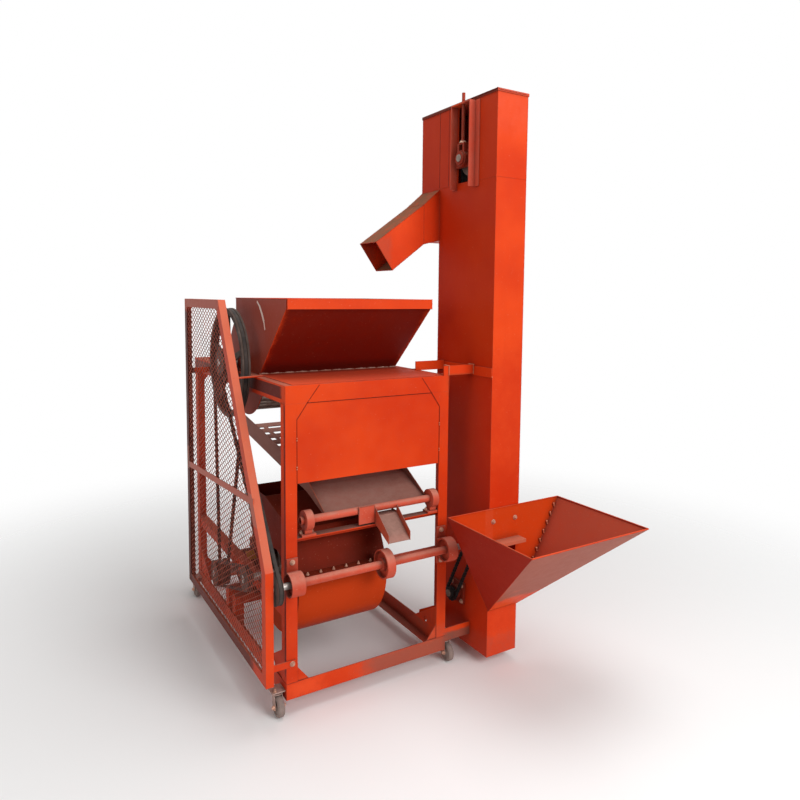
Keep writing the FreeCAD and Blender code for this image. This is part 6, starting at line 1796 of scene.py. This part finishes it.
class Studio:
    """Floor, lights, world and camera."""

    camera_place = Vector((-1.448, -2.5518, 1.570))
    yaw = math.radians(31.334)
    pitch = math.radians(4.753)
    roll = math.radians(0.525)
    lens = 30.02
    sensor = 36.0
    shift = (0.0011, -0.0608)
    floor_radius = 4.2
    floor_fade = (0.24, 0.86)
    floor_white = 0.93
    fill = 0.34
    # Name, place, what it is aimed at, width in metres and power in watts.
    lamps = (
        ("front", (0.9, -4.2, 3.0), (0.0, 0.0, 1.0), 2.6, 126.0),
        ("left", (-4.6, -1.6, 2.6), (0.0, 0.2, 0.9), 2.2, 24.0),
        ("top", (0.2, -0.4, 4.8), (0.1, 0.1, 0.8), 3.2, 92.0),
    )

    def build(self) -> None:
        """Set up the whole studio."""
        self.floor()
        self.world()
        self.lights()
        self.camera()
        bpy.context.scene.view_settings.view_transform = "Standard"

    def floor(self) -> None:
        """Pale round floor that keeps the shadow and fades out far from the machine."""
        build = bmesh.new()
        bmesh.ops.create_circle(build, cap_ends=True, segments=96, radius=self.floor_radius)
        floor = plain_piece("floor", build)
        s = Shading("pale_floor")
        s.shader.inputs["Base Color"].default_value = (*[self.floor_white] * 3, 1.0)
        s.shader.inputs["Roughness"].default_value = 0.95
        s.shader.inputs["Specular IOR Level"].default_value = 0.0
        away = s.tree.nodes.new("ShaderNodeVectorMath")
        away.operation = "LENGTH"
        s.link(s.place, away.inputs[0])
        near, far = [share * self.floor_radius for share in self.floor_fade]
        clear = s.tree.nodes.new("ShaderNodeBsdfTransparent")
        fade = s.tree.nodes.new("ShaderNodeMixShader")
        s.link(s.ramp(away.outputs["Value"], near, far), fade.inputs[0])
        s.link(s.shader.outputs[0], fade.inputs[1])
        s.link(clear.outputs[0], fade.inputs[2])
        output = next(n for n in s.tree.nodes if n.type == "OUTPUT_MATERIAL")
        s.link(fade.outputs[0], output.inputs[0])
        floor.data.materials.append(s.material)

    def world(self) -> None:
        """Even soft sky, white where the camera or a reflection sees it."""
        world = bpy.data.worlds.new("studio")
        bpy.context.scene.world = world
        world.use_nodes = True
        tree = world.node_tree
        tree.nodes.clear()
        output = tree.nodes.new("ShaderNodeOutputWorld")
        mix = tree.nodes.new("ShaderNodeMixShader")
        for slot, colour, strength in ((1, (1.0, 0.98, 0.96, 1.0), self.fill),
                                       (2, (1.0, 1.0, 1.0, 1.0), 1.0)):
            sky = tree.nodes.new("ShaderNodeBackground")
            sky.inputs["Color"].default_value = colour
            sky.inputs["Strength"].default_value = strength
            tree.links.new(sky.outputs[0], mix.inputs[slot])
        path = tree.nodes.new("ShaderNodeLightPath")
        seen = path.outputs["Is Camera Ray"]
        for ray in ("Is Glossy Ray", "Is Transmission Ray"):
            either = tree.nodes.new("ShaderNodeMath")
            either.operation = "MAXIMUM"
            tree.links.new(seen, either.inputs[0])
            tree.links.new(path.outputs[ray], either.inputs[1])
            seen = either.outputs[0]
        tree.links.new(seen, mix.inputs[0])
        tree.links.new(mix.outputs[0], output.inputs[0])

    def lights(self) -> None:
        """Large soft lamps in front, on the left and above."""
        for name, place, target, size, watts in self.lamps:
            data = bpy.data.lights.new(name, "AREA")
            data.shape = "DISK"
            data.size = size
            data.energy = watts
            lamp = bpy.data.objects.new(name, data)
            lamp.location = place
            lamp.rotation_euler = (Vector(target) - Vector(place)).to_track_quat("-Z", "Y").to_euler()
            bpy.context.scene.collection.objects.link(lamp)

    def camera(self) -> None:
        """Camera at the photograph's place, with its small shift."""
        data = bpy.data.cameras.new("camera")
        data.lens = self.lens
        data.sensor_width = self.sensor
        data.shift_x, data.shift_y = self.shift
        camera = bpy.data.objects.new("camera", data)
        level = math.cos(self.pitch)
        ahead = Vector((math.sin(self.yaw) * level, math.cos(self.yaw) * level, -math.sin(self.pitch)))
        right = Vector((math.cos(self.yaw), -math.sin(self.yaw), 0.0))
        up = right.cross(ahead)
        across = right * math.cos(self.roll) + up * math.sin(self.roll)
        upright = up * math.cos(self.roll) - right * math.sin(self.roll)
        turn = Matrix((across, upright, -ahead)).transposed()
        camera.matrix_world = Matrix.Translation(self.camera_place) @ turn.to_4x4()
        bpy.context.scene.collection.objects.link(camera)
        bpy.context.scene.camera = camera


def main() -> None:
    """Dress the machine and set up the studio."""
    logging.basicConfig(level=logging.INFO, format="%(name)s: %(message)s")
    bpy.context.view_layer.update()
    shop = Paintshop()
    shop.dress_nodes()
    tools = Tools(shop)
    for part in (MainFrame(), FeedHopper(), LayShaft(), RollerChain(), Rocker(), Elevator(), InletHopper(),
                 BeltGuard(), Motor(), Casters()):
        part.dress(tools)
        log.info("%s dressed", type(part).__name__)
    Studio().build()


if __name__ == "__main__":
    main()
